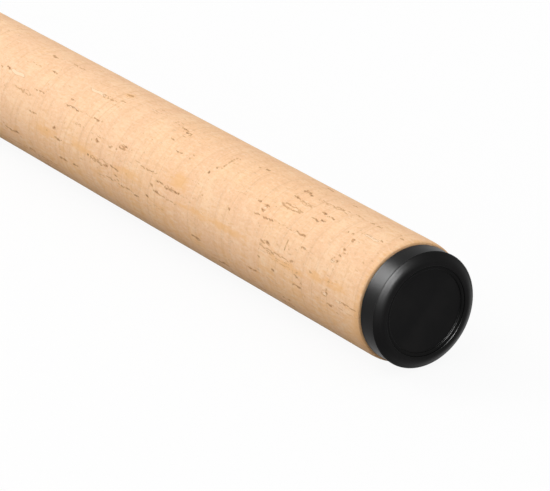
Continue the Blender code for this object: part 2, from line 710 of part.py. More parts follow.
def hood_radius(angle, u):
    """A ring around the barrel that swells towards the reel foot's side."""
    swell = math.exp(-((angle / math.radians(HOOD_SWELL_DEGREES)) ** 4))
    return hood_ring_radius + (crest_at(u) - hood_ring_radius) * swell


def pocket_radius(angle, u):
    """The inside of the swelling, one wall below the crest, that the reel foot slides into."""
    floor = SEAT_RADIUS - SEAT_GAP
    swell = math.exp(-((angle / math.radians(POCKET_SWELL_DEGREES)) ** 4))
    return floor + (crest_at(u) - HOOD_WALL - floor) * swell


def make_hood(name, closed_end, mouth, parent, key):
    """A hood from its closed end to its mouth, which may face either way along X."""
    way = 1.0 if mouth > closed_end else -1.0
    length = abs(mouth - closed_end)

    def share(x):
        return abs(x - closed_end) / length

    def outer(angle, x):
        u = share(x)
        edge = HOOD_EDGE_ROUND * max(0.0, 1.0 - min(u, 1.0 - u) / HOOD_EDGE_SHARE)
        return hood_radius(angle, u) - edge

    stations = [closed_end + way * length * u for u in HOOD_STATIONS]
    mesh = lofted_mesh(name, stations, outer, FINE_FACETS)
    hood = place(mesh, name, "polished_steel", (0, 0, 0), parent)

    pocket_end = mouth - way * POCKET_DEPTH
    past = TOOL_REACH
    stations = [pocket_end + way * POCKET_DEPTH * share for share in POCKET_STATIONS]
    stations.append(mouth + way * past)

    def inner(angle, x):
        return pocket_radius(angle, min(share(x), 1.0))

    mesh = lofted_mesh(name + "_pocket_tool", stations, inner, FINE_FACETS)
    pocket = place(mesh, name + "_pocket_tool", "seat_black", (0, 0, 0), parent)
    boolean(hood, pocket, "DIFFERENCE")
    low, high = sorted((closed_end - way * past, mouth + way * past))
    bore = [(low, 0.0), (low, hood_bore), (high, hood_bore), (high, 0.0)]
    boolean(hood, turned(name + "_bore_tool", "seat_black", bore, low, parent), "DIFFERENCE")
    if key:
        start, end = sorted((closed_end + way * length * KEY_INSET_SHARE, pocket_end))
        inside = SEAT_RADIUS - KEY_DEPTH + SEAT_GAP
        low = (start, inside, SEAT_GAP - KEY_WIDTH / 2.0)
        high = (end, (hood_bore + hood_ring_radius) / 2.0, KEY_WIDTH / 2.0 - SEAT_GAP)
        tongue = place(block_mesh(name + "_key", low, high), name + "_key", "seat_black", (0, 0, 0), parent)
        boolean(hood, tongue, "UNION")

    ends = sorted((pocket_end + way * LINER_INSET * 2.0, mouth - way * LINER_INSET))
    make_liner(name + "_liner", ends, share, parent)


def make_liner(name, ends, share, parent):
    """The soft arch inside a hood that bears on the reel foot."""
    across, along = 9, 4
    reach = math.radians(LINER_DEGREES)
    bm = bmesh.new()
    layers = []
    for depth in (SEAT_GAP, SEAT_GAP + LINER_THICKNESS):
        grid = []
        for i in range(along):
            x = ends[0] + (ends[1] - ends[0]) * i / (along - 1)
            row = []
            for j in range(across):
                angle = reach * (2.0 * j / (across - 1) - 1.0)
                r = pocket_radius(angle, share(x)) - depth / math.cos(abs(angle))
                row.append(bm.verts.new((x, -r * math.cos(angle), r * math.sin(angle))))
            grid.append(row)
        layers.append(grid)
    outside, inside = layers
    for grid in layers:
        for i in range(along - 1):
            for j in range(across - 1):
                bm.faces.new((grid[i][j], grid[i][j + 1], grid[i + 1][j + 1], grid[i + 1][j]))
    for i in (0, along - 1):
        for j in range(across - 1):
            bm.faces.new((outside[i][j], outside[i][j + 1], inside[i][j + 1], inside[i][j]))
    for j in (0, across - 1):
        for i in range(along - 1):
            bm.faces.new((outside[i][j], outside[i + 1][j], inside[i + 1][j], inside[i][j]))
    place(finish_mesh(bm, name), name, "liner_plastic", (0, 0, 0), parent)


def make_lock_nut(parent):
    """The fluted nut that turns on the barrel's thread and drives the sliding hood."""
    front = nut_rear + NUT_LENGTH
    profile = [
        (nut_rear, hood_bore),
        (nut_rear, nut_radius - NUT_CHAMFER),
        (nut_rear + NUT_CHAMFER, nut_radius),
        (front - NUT_CHAMFER, nut_radius),
        (front, nut_radius - NUT_CHAMFER),
        (front, hood_bore),
    ]
    nut = turned("lock_nut", "black_anodised", profile, nut_rear, parent)
    step = 2.0 * math.pi / FINE_FACETS
    for vertex in nut.data.vertices:
        radius = math.hypot(vertex.co.y, vertex.co.z)
        turn = math.atan2(vertex.co.y, vertex.co.z) / step
        if radius > nut_radius - NUT_CHAMFER / 2.0 and math.floor(turn) % 2:
            vertex.co.y *= (radius - NUT_FLUTE_DEPTH) / radius
            vertex.co.z *= (radius - NUT_FLUTE_DEPTH) / radius


def make_guide(name, guide, parent, facets, tube_facets):
    """A guide on its tube: the insert's band, two bent legs to the rear and a strut to the front."""
    band = guide.band_width / 2.0
    soft = guide.band_width * BAND_SOFTNESS
    axis_y = -guide.height
    tube = [
        (guide.rear, 0.0),
        (guide.rear, guide.tube_radius),
        (guide.front, guide.tube_radius),
        (guide.front, 0.0),
    ]
    frame = turned(name + "_frame", "black_steel", tube, guide.rear, parent, tube_facets)
    disc = [
        (-band, 0.0),
        (-band, guide.band_outer - soft),
        (-band + soft, guide.band_outer),
        (band - soft, guide.band_outer),
        (band, guide.band_outer - soft),
        (band, 0.0),
    ]
    centre = (guide.ring_x, axis_y, 0.0)
    mesh = turned_mesh(name + "_band_tool", disc, facets)
    boolean(frame, place(mesh, name + "_band_tool", "black_steel", centre, parent), "UNION")

    wire = guide.wire
    hold = guide.band_outer - wire * WIRE_SINK
    run = (guide.front - guide.rear) * LEG_RUN_SHARE
    foot_radius = guide.tube_radius + wire * WIRE_RISE
    spread = math.radians(LEG_FOOT_DEGREES)
    up = math.radians(LEG_TOP_DEGREES)
    for side, tag in ((-1.0, "left"), (1.0, "right")):
        foot = (guide.rear + wire, -foot_radius * math.cos(spread), side * foot_radius * math.sin(spread))
        top = (guide.ring_x, axis_y + hold * math.cos(up), side * hold * math.sin(up))
        handles = (
            (foot[0] + run, foot[1], foot[2]),
            (guide.ring_x - wire, (foot[1] + top[1]) / 2.0, side * guide.band_outer * math.sin(up)),
        )
        leg_name = name + "_leg_" + tag + "_tool"
        mesh = wire_mesh(leg_name, (foot, top), handles, wire, WIRE_POINTS)
        boolean(frame, place(mesh, leg_name, "black_steel", (0, 0, 0), parent), "UNION")
    foot = (guide.front - wire, -foot_radius, 0.0)
    top = (guide.ring_x, axis_y + hold, 0.0)
    run = (guide.front - guide.rear) * STRUT_RUN_SHARE
    bend_y = foot[1] + (top[1] - foot[1]) * STRUT_RISE_SHARE
    handles = ((foot[0] - run, foot[1], 0.0), (guide.ring_x + wire, bend_y, 0.0))
    strut_name = name + "_strut_tool"
    mesh = wire_mesh(strut_name, (foot, top), handles, wire, WIRE_POINTS - 2)
    boolean(frame, place(mesh, strut_name, "black_steel", (0, 0, 0), parent), "UNION")

    past = guide.band_width + TOOL_REACH
    bore = [(guide.rear - past, 0.0), (guide.rear - past, guide.bore)]
    bore += [(guide.front + past, guide.bore), (guide.front + past, 0.0)]
    tool = turned(name + "_bore_tool", "black_steel", bore, guide.rear, parent, tube_facets)
    boolean(frame, tool, "DIFFERENCE")
    hole = [(-past, 0.0), (-past, guide.band_inner), (past, guide.band_inner), (past, 0.0)]
    mesh = turned_mesh(name + "_hole_tool", hole, facets)
    boolean(frame, place(mesh, name + "_hole_tool", "black_steel", centre, parent), "DIFFERENCE")
    make_insert(name + "_ring", guide, centre, parent, facets)


def make_insert(name, guide, centre, parent, facets):
    """The ceramic ring in a guide's band: an oval section turned about the hole's axis."""
    sides = 8 if facets > BLANK_FACETS else 6
    depth = (guide.insert_outer - guide.hole) / 2.0
    middle = guide.hole + depth
    width = guide.insert_width / 2.0
    profile = []
    for i in range(sides):
        a = 2.0 * math.pi * (i + 0.5) / sides
        profile.append((width * math.cos(a) / math.cos(math.pi / sides), middle + depth * math.sin(a)))
    stretch = depth / max(abs(r - middle) for _, r in profile)
    profile = [(x, middle + (r - middle) * stretch) for x, r in profile]
    place(turned_mesh(name, profile, facets), name, "guide_ceramic", centre, parent)


def make_tip_guide(parent, facets):
    """The guide at the tip: a tube over the end of the rod and a ring ahead of it on three legs."""
    name = "tip_guide"
    bore = section_5.outer(tip_tube_rear) + SEAT_GAP
    tube_radius = bore + GUIDE_TUBE_WALL
    tube_front = tip_tube_rear + TIP_TUBE_LENGTH + GUIDE_TUBE_WALL
    tube = [
        (tip_tube_rear, 0.0),
        (tip_tube_rear, tube_radius),
        (tube_front - GUIDE_TUBE_WALL, tube_radius),
        (tube_front, tube_radius - GUIDE_TUBE_WALL),
        (tube_front, 0.0),
    ]
    frame = turned(name + "_frame", "black_steel", tube, tip_tube_rear, parent, SMALL_FACETS)
    insert_outer = TIP_HOLE_RADIUS + TIP_INSERT_DEPTH
    band_inner = insert_outer + SEAT_GAP
    band_outer = band_inner + TIP_BAND
    soft = 2.0 * TIP_BAND * BAND_SOFTNESS
    disc = [
        (-TIP_BAND, 0.0),
        (-TIP_BAND, band_outer - soft),
        (soft - TIP_BAND, band_outer),
        (TIP_BAND - soft, band_outer),
        (TIP_BAND, band_outer - soft),
        (TIP_BAND, 0.0),
    ]
    centre = (tube_front + TIP_RING_AHEAD, -TIP_RING_DROP, 0.0)
    mesh = turned_mesh(name + "_band_tool", disc, facets)
    boolean(frame, place(mesh, name + "_band_tool", "black_steel", centre, parent), "UNION")
    hold = band_outer - TIP_WIRE_RADIUS * WIRE_SINK
    for turn, tag in ((0.0, "top"), (TIP_LEG_DEGREES, "left"), (-TIP_LEG_DEGREES, "right")):
        a = math.radians(turn)
        foot = (
            tube_front - TIP_TUBE_LENGTH / 2.0,
            tube_radius * math.cos(a),
            tube_radius * math.sin(a),
        )
        top = (centre[0], centre[1] + hold * math.cos(a), hold * math.sin(a))
        handles = (
            (tube_front, foot[1], foot[2]),
            (centre[0] - TIP_RING_AHEAD * TIP_LEG_SHARE, top[1], top[2]),
        )
        leg_name = name + "_leg_" + tag + "_tool"
        mesh = wire_mesh(leg_name, (foot, top), handles, TIP_WIRE_RADIUS, WIRE_POINTS - 2)
        boolean(frame, place(mesh, leg_name, "black_steel", (0, 0, 0), parent), "UNION")
    past = TIP_BAND + TOOL_REACH
    hole = [(-past, 0.0), (-past, band_inner), (past, band_inner), (past, 0.0)]
    mesh = turned_mesh(name + "_hole_tool", hole, facets)
    boolean(frame, place(mesh, name + "_hole_tool", "black_steel", centre, parent), "DIFFERENCE")
    inside = [(tip_tube_rear - past, 0.0), (tip_tube_rear - past, bore)]
    inside += [(tip_tube_rear + TIP_TUBE_LENGTH, bore), (tip_tube_rear + TIP_TUBE_LENGTH, 0.0)]
    tool = turned(name + "_bore_tool", "black_steel", inside, tip_tube_rear, parent, SMALL_FACETS)
    boolean(frame, tool, "DIFFERENCE")
    sizes = Guide(tip_tube_rear, TIP_TUBE_LENGTH, bore, TIP_HOLE_RADIUS, TIP_INSERT_DEPTH, TIP_BAND, 0.0, 0.0)
    make_insert(name + "_ring", sizes, centre, parent, facets)


def main():
    for obj in list(bpy.data.objects):
        bpy.data.objects.remove(obj)
    for old in list(bpy.data.materials):
        bpy.data.materials.remove(old)

    pad_body = body("pad_body", pad_rear)
    cap_body = body("cap_body", cap_back, pad_body)
    make_butt_cap(cap_body, pad_body)
    make_butt_section()
    make_grips()
    make_reel_seat()
    make_hood("fixed_hood", fixed_hood_rear, fixed_hood_mouth, None, False)
    hood_body = body("hood_body", sliding_hood_mouth)
    make_hood("sliding_hood", sliding_hood_front, sliding_hood_mouth, hood_body, True)
    make_lock_nut(body("nut_body", nut_rear, hood_body))

    body_2 = body("section_2_body", section_2.rear)
    body_3 = body("section_3_body", section_3.rear, body_2)
    body_4 = body("section_4_body", section_4.rear, body_3)
    body_5 = body("section_5_body", section_5.rear, body_4)
    make_tube("section_2", section_2, body_2)
    make_tube("section_3", section_3, body_3)
    make_tube("section_4", section_4, body_4)
    make_tube("section_5", section_5, body_5)
    guide_2 = Guide(
        guide_2_rear,
        GUIDE_2_TUBE_LENGTH,
        section_2.outer(guide_2_rear) + SEAT_GAP,
        GUIDE_2_HOLE_RADIUS,
        GUIDE_2_INSERT_DEPTH,
        GUIDE_2_BAND,
        GUIDE_2_STANDOFF,
        GUIDE_2_WIRE_RADIUS,
    )
    guide_3 = Guide(
        guide_3_rear,
        GUIDE_3_TUBE_LENGTH,
        section_3.outer(guide_3_rear) + SEAT_GAP,
        GUIDE_3_HOLE_RADIUS,
        GUIDE_3_INSERT_DEPTH,
        GUIDE_3_BAND,
        GUIDE_3_STANDOFF,
        GUIDE_3_WIRE_RADIUS,
    )
    float_a = Guide(
        float_a_rear,
        FLOAT_A_TUBE_LENGTH,
        float_bore(section_3, section_4, float_a_rear),
        FLOAT_A_HOLE_RADIUS,
        FLOAT_A_INSERT_DEPTH,
        FLOAT_A_BAND,
        FLOAT_A_STANDOFF,
        FLOAT_A_WIRE_RADIUS,
    )
    guide_4 = Guide(
        guide_4_rear,
        GUIDE_4_TUBE_LENGTH,
        section_4.outer(guide_4_rear) + SEAT_GAP,
        GUIDE_4_HOLE_RADIUS,
        GUIDE_4_INSERT_DEPTH,
        GUIDE_4_BAND,
        GUIDE_4_STANDOFF,
        GUIDE_4_WIRE_RADIUS,
    )
    float_b = Guide(
        float_b_rear,
        FLOAT_B_TUBE_LENGTH,
        float_bore(section_4, section_5, float_b_rear),
        FLOAT_B_HOLE_RADIUS,
        FLOAT_B_INSERT_DEPTH,
        FLOAT_B_BAND,
        FLOAT_B_STANDOFF,
        FLOAT_B_WIRE_RADIUS,
    )
    float_a_body = body("float_a_body", float_a_rear, body_3)
    float_b_body = body("float_b_body", float_b_rear, body_4)
    make_guide("guide_2", guide_2, body_2, FINE_FACETS, BLANK_FACETS)
    make_guide("guide_3", guide_3, body_3, BLANK_FACETS, BLANK_FACETS)
    make_guide("floating_guide_a", float_a, float_a_body, BLANK_FACETS, SMALL_FACETS)
    make_guide("guide_4", guide_4, body_4, SMALL_FACETS, SMALL_FACETS)
    make_guide("floating_guide_b", float_b, float_b_body, SMALL_FACETS, SMALL_FACETS)
    make_tip_guide(body_5, SMALL_FACETS)


main()
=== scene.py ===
"""Looks of the telescopic spinning rod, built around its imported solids.

The rod lies along X with its butt at the origin, its line guides towards -Y and +Z up. Corners of
profiles and tables are in millimetres, and meshes are in metres. A turn is counted in radians about the
rod's axis, from +Z towards +Y. Every new piece is a grid of points worked out with numpy, closed into a
solid whose faces point outwards.
"""

import math

import bpy
import numpy as np
from mathutils import Matrix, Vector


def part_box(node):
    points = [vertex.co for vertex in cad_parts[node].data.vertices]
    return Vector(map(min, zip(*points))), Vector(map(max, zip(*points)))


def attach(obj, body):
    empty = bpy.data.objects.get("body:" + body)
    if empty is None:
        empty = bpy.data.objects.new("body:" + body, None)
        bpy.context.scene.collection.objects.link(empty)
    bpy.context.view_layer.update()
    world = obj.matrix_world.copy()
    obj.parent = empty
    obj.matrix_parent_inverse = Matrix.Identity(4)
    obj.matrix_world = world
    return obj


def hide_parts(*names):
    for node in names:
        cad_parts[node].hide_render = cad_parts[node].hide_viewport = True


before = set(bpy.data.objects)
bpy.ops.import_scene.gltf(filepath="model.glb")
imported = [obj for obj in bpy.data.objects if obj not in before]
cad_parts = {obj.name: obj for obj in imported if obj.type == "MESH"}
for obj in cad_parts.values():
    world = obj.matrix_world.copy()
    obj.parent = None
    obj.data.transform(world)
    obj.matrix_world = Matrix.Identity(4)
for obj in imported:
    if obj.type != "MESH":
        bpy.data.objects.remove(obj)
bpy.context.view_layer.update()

MM = 0.001
FULL_TURN = 2.0 * math.pi
THREAD_PITCH = 1.5 * MM
# Start, end and depth of the thread on the cap's stub and on the reel seat, in metres.
STUB_THREAD = (0.0069, 0.0166, 0.0008)
SEAT_THREAD = (0.3118, 0.3600, 0.00045)

# Shapes


def close_grid(points, loop=False, fields=None):
    """Closes a grid of points into a solid and returns its points, faces and fields.

    Columns run round and meet. Rows meet too where loop is set, and otherwise each end row is closed by
    a fan to its middle. The faces are turned round if the signed volume comes out below nothing.
    """
    rows, columns = points.shape[:2]
    index = np.arange(rows * columns).reshape(rows, columns)
    near = index if loop else index[:-1]
    far = np.roll(index, -1, axis=0) if loop else index[1:]
    quads = np.stack([near, np.roll(near, -1, axis=1), np.roll(far, -1, axis=1), far], axis=-1)
    quads = quads.reshape(-1, 4)
    fans = np.zeros((0, 3), int)
    spots = points.reshape(-1, 3)
    fields = {key: value.ravel() for key, value in (fields or {}).items()}
    if not loop:
        spots = np.concatenate([spots, [points[0].mean(axis=0), points[-1].mean(axis=0)]])
        last, total = index[-1], rows * columns
        start = np.stack([np.roll(index[0], -1), index[0], np.full(columns, total)], axis=-1)
        stop = np.stack([last, np.roll(last, -1), np.full(columns, total + 1)], axis=-1)
        fans = np.concatenate([start, stop])
    corners = np.concatenate([quads[:, [0, 1, 2]], quads[:, [0, 2, 3]], fans])
    a, b, c = (spots[corners[:, i]] for i in range(3))
    if np.einsum("ij,ij->", a, np.cross(b, c)) < 0.0:
        quads, fans = quads[:, ::-1], fans[:, ::-1]
    return spots, quads, fans, fields


def piece(name, solids, finish, body, node=None, sharp=33.0):
    """One mesh object from one or more closed solids, riding on a body in place of a CAD node.

    The node is the one of the piece's own name unless another is given. A finish is a material and the
    record's slot for it, and only its material is used here. Edges that bend by more than the given
    degrees are shaded sharp.
    """
    spots = np.concatenate([s[0] for s in solids])
    starts = np.cumsum([0] + [len(s[0]) for s in solids])
    quads = np.concatenate([s[1] + start for s, start in zip(solids, starts)])
    fans = np.concatenate([s[2] + start for s, start in zip(solids, starts)])
    mesh = bpy.data.meshes.new(name)
    mesh.vertices.add(len(spots))
    mesh.vertices.foreach_set("co", spots.astype(np.float32).ravel())
    loops = np.concatenate([quads.ravel(), fans.ravel()])
    mesh.loops.add(len(loops))
    mesh.loops.foreach_set("vertex_index", loops.astype(np.int32))
    first = np.concatenate([4 * np.arange(len(quads)), 4 * len(quads) + 3 * np.arange(len(fans))])
    mesh.polygons.add(len(first))
    mesh.polygons.foreach_set("loop_start", first.astype(np.int32))
    mesh.update(calc_edges=True)
    for key, value in solids[0][3].items():
        mesh.attributes.new(key, "FLOAT", "POINT").data.foreach_set("value", value.astype(np.float32))
    mesh.shade_smooth()
    mesh.set_sharp_from_angle(angle=math.radians(sharp))
    material, slot = finish
    mesh.materials.append(material)
    made = bpy.data.objects.new(name, mesh)
    bpy.context.scene.collection.objects.link(made)
    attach(made, body)
    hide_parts(node or name)


def eased(corners, loop=False, steps=6):
    """A profile through corners of (x, radius, cut) in millimetres, with the corners eased.

    A corner becomes the curve (1-t)^2 * before + 2t(1-t) * corner + t^2 * after, where before and after
    are the points one cut away from it along its two edges.
    """
    corners = np.array(corners, float) * MM
    spots, cut = corners[:, None, :2], corners[:, None, 2:]
    before = np.roll(spots, 1, axis=0) - spots
    after = np.roll(spots, -1, axis=0) - spots
    before = before / np.linalg.norm(before, axis=-1, keepdims=True)
    after = after / np.linalg.norm(after, axis=-1, keepdims=True)
    t = np.linspace(0.0, 1.0, steps)[None, :, None]
    curve = (1 - t) ** 2 * (spots + before * cut) + 2 * t * (1 - t) * spots
    curve = (curve + t**2 * (spots + after * cut)).reshape(-1, 2)
    moved = np.linalg.norm(curve - np.roll(curve, 1, axis=0), axis=1) > 1e-8
    moved[0] = moved[0] or not loop
    return curve[moved]


def length_along(path):
    """The length along a path at each of its points."""
    return np.concatenate([[0.0], np.cumsum(np.linalg.norm(np.diff(path, axis=0), axis=1))])


def at_marks(path, run, marks):
    """The path's points at the given lengths along it."""
    return np.stack([np.interp(marks, run, column) for column in path.T], axis=1)


def dense(profile, step):
    """The same profile with rows added along it, so that none are further apart than the step."""
    run = length_along(profile)
    return at_marks(profile, run, np.union1d(run, np.arange(0.0, run[-1], step)))


def once_round(columns):
    """Even turns, once round."""
    return np.linspace(0.0, FULL_TURN, columns, endpoint=False)


def turned(profile, turn, relief=None, axis_y=0.0):
    """A profile turned about a line along X: y = axis + radius * sin(turn), z = radius * cos(turn).

    A relief is added to the radius, as a function of x, the turn and the radius.
    """
    x, radius = np.broadcast_arrays(profile[:, :1], profile[:, 1:] + 0.0 * turn)
    if relief is not None:
        radius = radius + relief(x, turn + 0.0 * x, radius)
    return np.stack([x, axis_y + radius * np.sin(turn), radius * np.cos(turn)], axis=-1)


def turned_ring(corners, columns, relief=None, axis_y=0.0):
    """A closed profile through corners, eased and turned into a solid ring."""
    return close_grid(turned(eased(corners, True), once_round(columns), relief, axis_y), True)


def ramp(value, low, high):
    """0 below low, 1 above high, and 3s^2 - 2s^3 between, where s is the share of the way."""
    s = np.clip((value - low) / (high - low), 0.0, 1.0)
    return s * s * (3.0 - 2.0 * s)


def quarter_fall(gap, reach):
    """The fall 1 - sqrt(1 - s^2) of a quarter circle, where s goes from 1 at no gap to 0 at the reach."""
    s = np.clip(1.0 - gap / reach, 0.0, 1.0)
    return 1.0 - np.sqrt(1.0 - s**2)


def thread(x, turn, start, end, depth):
    """Depth of a right-hand thread's groove: a trapezium wave of x / pitch + turn / a full turn.

    Its flanks lie between 22% and 78% of the half pitch. It fades in and out over one pitch.
    """
    wave = np.abs(2.0 * np.mod(x / THREAD_PITCH + turn / FULL_TURN, 1.0) - 1.0)
    groove = np.clip((wave - 0.22) / 0.56, 0.0, 1.0)
    return -depth * groove * ramp(x, start, start + THREAD_PITCH) * ramp(-x, -end, THREAD_PITCH - end)


def bent_wire(foot, near_foot, near_top, top, radius, columns=14):
    """A round wire along the cubic curve of four points, with domed ends, as a solid. In millimetres.

    The curve is foot (1-t)^3 + 3 near_foot t(1-t)^2 + 3 near_top t^2(1-t) + top t^3. Along it the radius
    is R * sqrt(1 - (1 - d / R)^2) for a distance d under R from an end, and R elsewhere. The section
    stands square to the curve: its directions are the tangent crossed with Z, and with that.
    """
    t = np.linspace(0.0, 1.0, 60)[:, None]
    foot, near_foot, near_top, top = (np.array(p, float) for p in (foot, near_foot, near_top, top))
    path = foot * (1 - t) ** 3 + 3 * near_foot * t * (1 - t) ** 2
    path = (path + 3 * near_top * t**2 * (1 - t) + top * t**3) * MM
    radius = radius * MM
    run = length_along(path)
    dome = radius * (1.0 - np.cos(np.linspace(0.12, math.pi / 2.0, 6)))
    body = np.linspace(radius, run[-1] - radius, 3 + int(run[-1] / radius * 1.5))[1:-1]
    marks = np.concatenate([dome, body, run[-1] - dome[::-1]])
    centre = at_marks(path, run, marks)
    tangent = np.gradient(centre, marks, axis=0)
    tangent /= np.linalg.norm(tangent, axis=1, keepdims=True)
    across = np.cross(tangent, [0.0, 0.0, 1.0])
    across /= np.linalg.norm(across, axis=1, keepdims=True)
    other = np.cross(tangent, across)
    inset = np.clip(1.0 - np.minimum(marks, run[-1] - marks) / radius, 0.0, 1.0)
    size = (radius * np.sqrt(1.0 - inset**2))[:, None, None]
    turn = once_round(columns)[None, :, None]
    ring = across[:, None, :] * np.cos(turn) + other[:, None, :] * np.sin(turn)
    return close_grid(centre[:, None, :] + size * ring)


# Finishes


def add_node(tree, kind, inputs=(), **settings):
    """A shader node with its settings, each input set to a value or linked to another node's output."""
    made = tree.nodes.new("ShaderNode" + kind)
    for key, value in settings.items():
        setattr(made, key, value)
    for key, value in dict(inputs).items():
        join(tree, made.inputs[key], value)
    return made


def join(tree, socket, value):
    """Links the socket where the value is a node's output, and sets it otherwise."""
    if isinstance(value, bpy.types.NodeSocket):
        tree.links.new(value, socket)
    else:
        socket.default_value = value


class Finish:
    """A material under construction, with short ways to add and join its nodes."""

    def __init__(self, name, metallic=0.0, specular=0.5):
        """A new material, its shader, and the place on the rod that its patterns read."""
        self.material = bpy.data.materials.new(name)
        self.material.use_nodes = True
        self.tree = self.material.node_tree
        self.shader = self.tree.nodes["Principled BSDF"]
        self.set("Metallic", metallic)
        self.set("Specular IOR Level", specular)
        self.place = self.add("TexCoord").outputs["Object"]

    def set(self, key, value):
        """Sets an input of the shader, or links it."""
        join(self.tree, self.shader.inputs[key], value)

    def add(self, kind, inputs=(), **settings):
        """A new node of this material."""
        return add_node(self.tree, kind, inputs, **settings)

    def math(self, operation, *values):
        """One operation on numbers or on other nodes' outputs."""
        return self.add("Math", enumerate(values), operation=operation).outputs[0]

    def plus(self, first, second):
        """The sum of both."""
        return self.math("ADD", first, second)

    def times(self, first, second):
        """The product of both."""
        return self.math("MULTIPLY", first, second)

    def noise(self, scale, detail=3.0, roughness=0.5, at=None):
        """Noise at the place on the rod, or at the one given."""
        inputs = {"Vector": at or self.place, "Scale": scale, "Detail": detail, "Roughness": roughness}
        return self.add("TexNoise", inputs).outputs["Fac"]

    def streaks(self, along, across, detail=3.0, roughness=0.5):
        """Noise with one scale along the rod and another across it."""
        place = self.add("VectorMath", {0: self.place, 1: (along, across, across)}, operation="MULTIPLY")
        return self.noise(1.0, detail, roughness, place.outputs[0])

    def bands_of(self, value, scale):
        """Noise of one value alone, which gives bands where the value changes."""
        inputs = {"W": value, "Scale": scale, "Detail": 2.0}
        return self.add("TexNoise", inputs, noise_dimensions="1D").outputs["Fac"]

    def band(self, value, low, high, out_low=0.0, out_high=1.0):
        """0 to 1, or out_low to out_high, as the value goes smoothly from low to high."""
        inputs = {0: value, 1: low, 2: high, 3: out_low, 4: out_high}
        return self.add("MapRange", inputs, interpolation_type="SMOOTHSTEP").outputs[0]

    def blend(self, share, colour, under=None):
        """Lays a share of a colour over the one under it, which is the last unless one is given."""
        under = (*under, 1.0) if under else self.tone
        self.tone = self.add("Mix", {0: share, 6: under, 7: (*colour, 1.0)}, data_type="RGBA").outputs[2]
        self.set("Base Color", self.tone)

    def tones(self, value, low, high, first, second):
        """Starts the colour: from the first to the second as the value goes from low to high."""
        self.blend(self.band(value, low, high), second, first)

    def lay(self, value, low, high, most, colour):
        """Lays a colour over the last, from none of it up to the most as the value goes up."""
        self.blend(self.band(value, low, high, 0.0, most), colour)

    def field(self, name):
        """A field that the mesh carries on its points."""
        return self.add("Attribute", attribute_name=name).outputs["Fac"]

    def from_axis(self):
        """The place along the rod's axis, and the distance from it."""
        x, y, z = self.add("SeparateXYZ", {0: self.place}).outputs
        return x, self.math("SQRT", self.plus(self.times(y, y), self.times(z, z)))

    def spiral(self, pitch):
        """From 0 to 1 within each turn of a spiral about the rod's axis."""
        x, y, z = self.add("SeparateXYZ", {0: self.place}).outputs
        turn = self.math("DIVIDE", self.math("ARCTAN2", y, z), FULL_TURN)
        return self.math("FRACT", self.plus(self.math("DIVIDE", x, pitch), turn))

    def coat(self, weight, roughness):
        """A clear coat over all."""
        self.set("Coat Weight", weight)
        self.set("Coat Roughness", roughness)

    def bump(self, height, distance, strength):
        """Shades the surface as if it rose with the height."""
        inputs = {"Height": height, "Distance": distance, "Strength": strength}
        self.set("Normal", self.add("Bump", inputs).outputs[0])


def anodised_black():
    """Satin black anodised metal: a fine bead-blasted grain and the faint rings of the turning tool.

    The edge of the cap's recess is smoother than the rest.
    """
    made = Finish("satin_black_anodised", specular=0.085)
    grain = made.noise(9000.0, 2.0)
    rings = made.streaks(5200.0, 60.0, 2.0)
    cloud = made.noise(110.0)
    made.tones(cloud, 0.35, 0.7, (0.0012, 0.0011, 0.0012), (0.0026, 0.0023, 0.0023))
    made.lay(grain, 0.55, 0.75, 0.5, (0.006, 0.0056, 0.0056))
    rough = made.plus(made.band(cloud, 0.3, 0.7, 0.31, 0.37), made.band(rings, 0.3, 0.7, 0.0, 0.03))
    x, across = made.from_axis()
    edge = made.times(made.band(across, 0.0106, 0.0109, 1.0, 0.0), made.band(x, 0.002, 0.003, 1.0, 0.0))
    made.set("Roughness", made.times(rough, made.band(edge, 0.0, 1.0, 1.0, 0.75)))
    made.bump(made.plus(made.times(grain, 0.6), made.times(rings, 0.4)), 0.000012, 0.35)
    return made.material


def disc_black():
    """The recessed disc: a flat, very dark satin face with a fine turned grain and a smoother border."""
    made = Finish("end_disc_satin_black", specular=0.07)
    across = made.from_axis()[1]
    cloud = made.noise(160.0)
    speck = made.noise(2400.0, 2.0)
    made.tones(cloud, 0.3, 0.7, (0.0009, 0.0009, 0.0011), (0.0019, 0.0016, 0.0016))
    made.lay(speck, 0.66, 0.78, 0.6, (0.006, 0.0055, 0.005))
    rough = made.band(cloud, 0.3, 0.7, 0.36, 0.46)
    made.set("Roughness", made.times(rough, made.band(across, 0.0094, 0.0096, 1.0, 0.7)))
    made.bump(made.bands_of(across, 5200.0), 0.000008, 0.3)
    return made.material


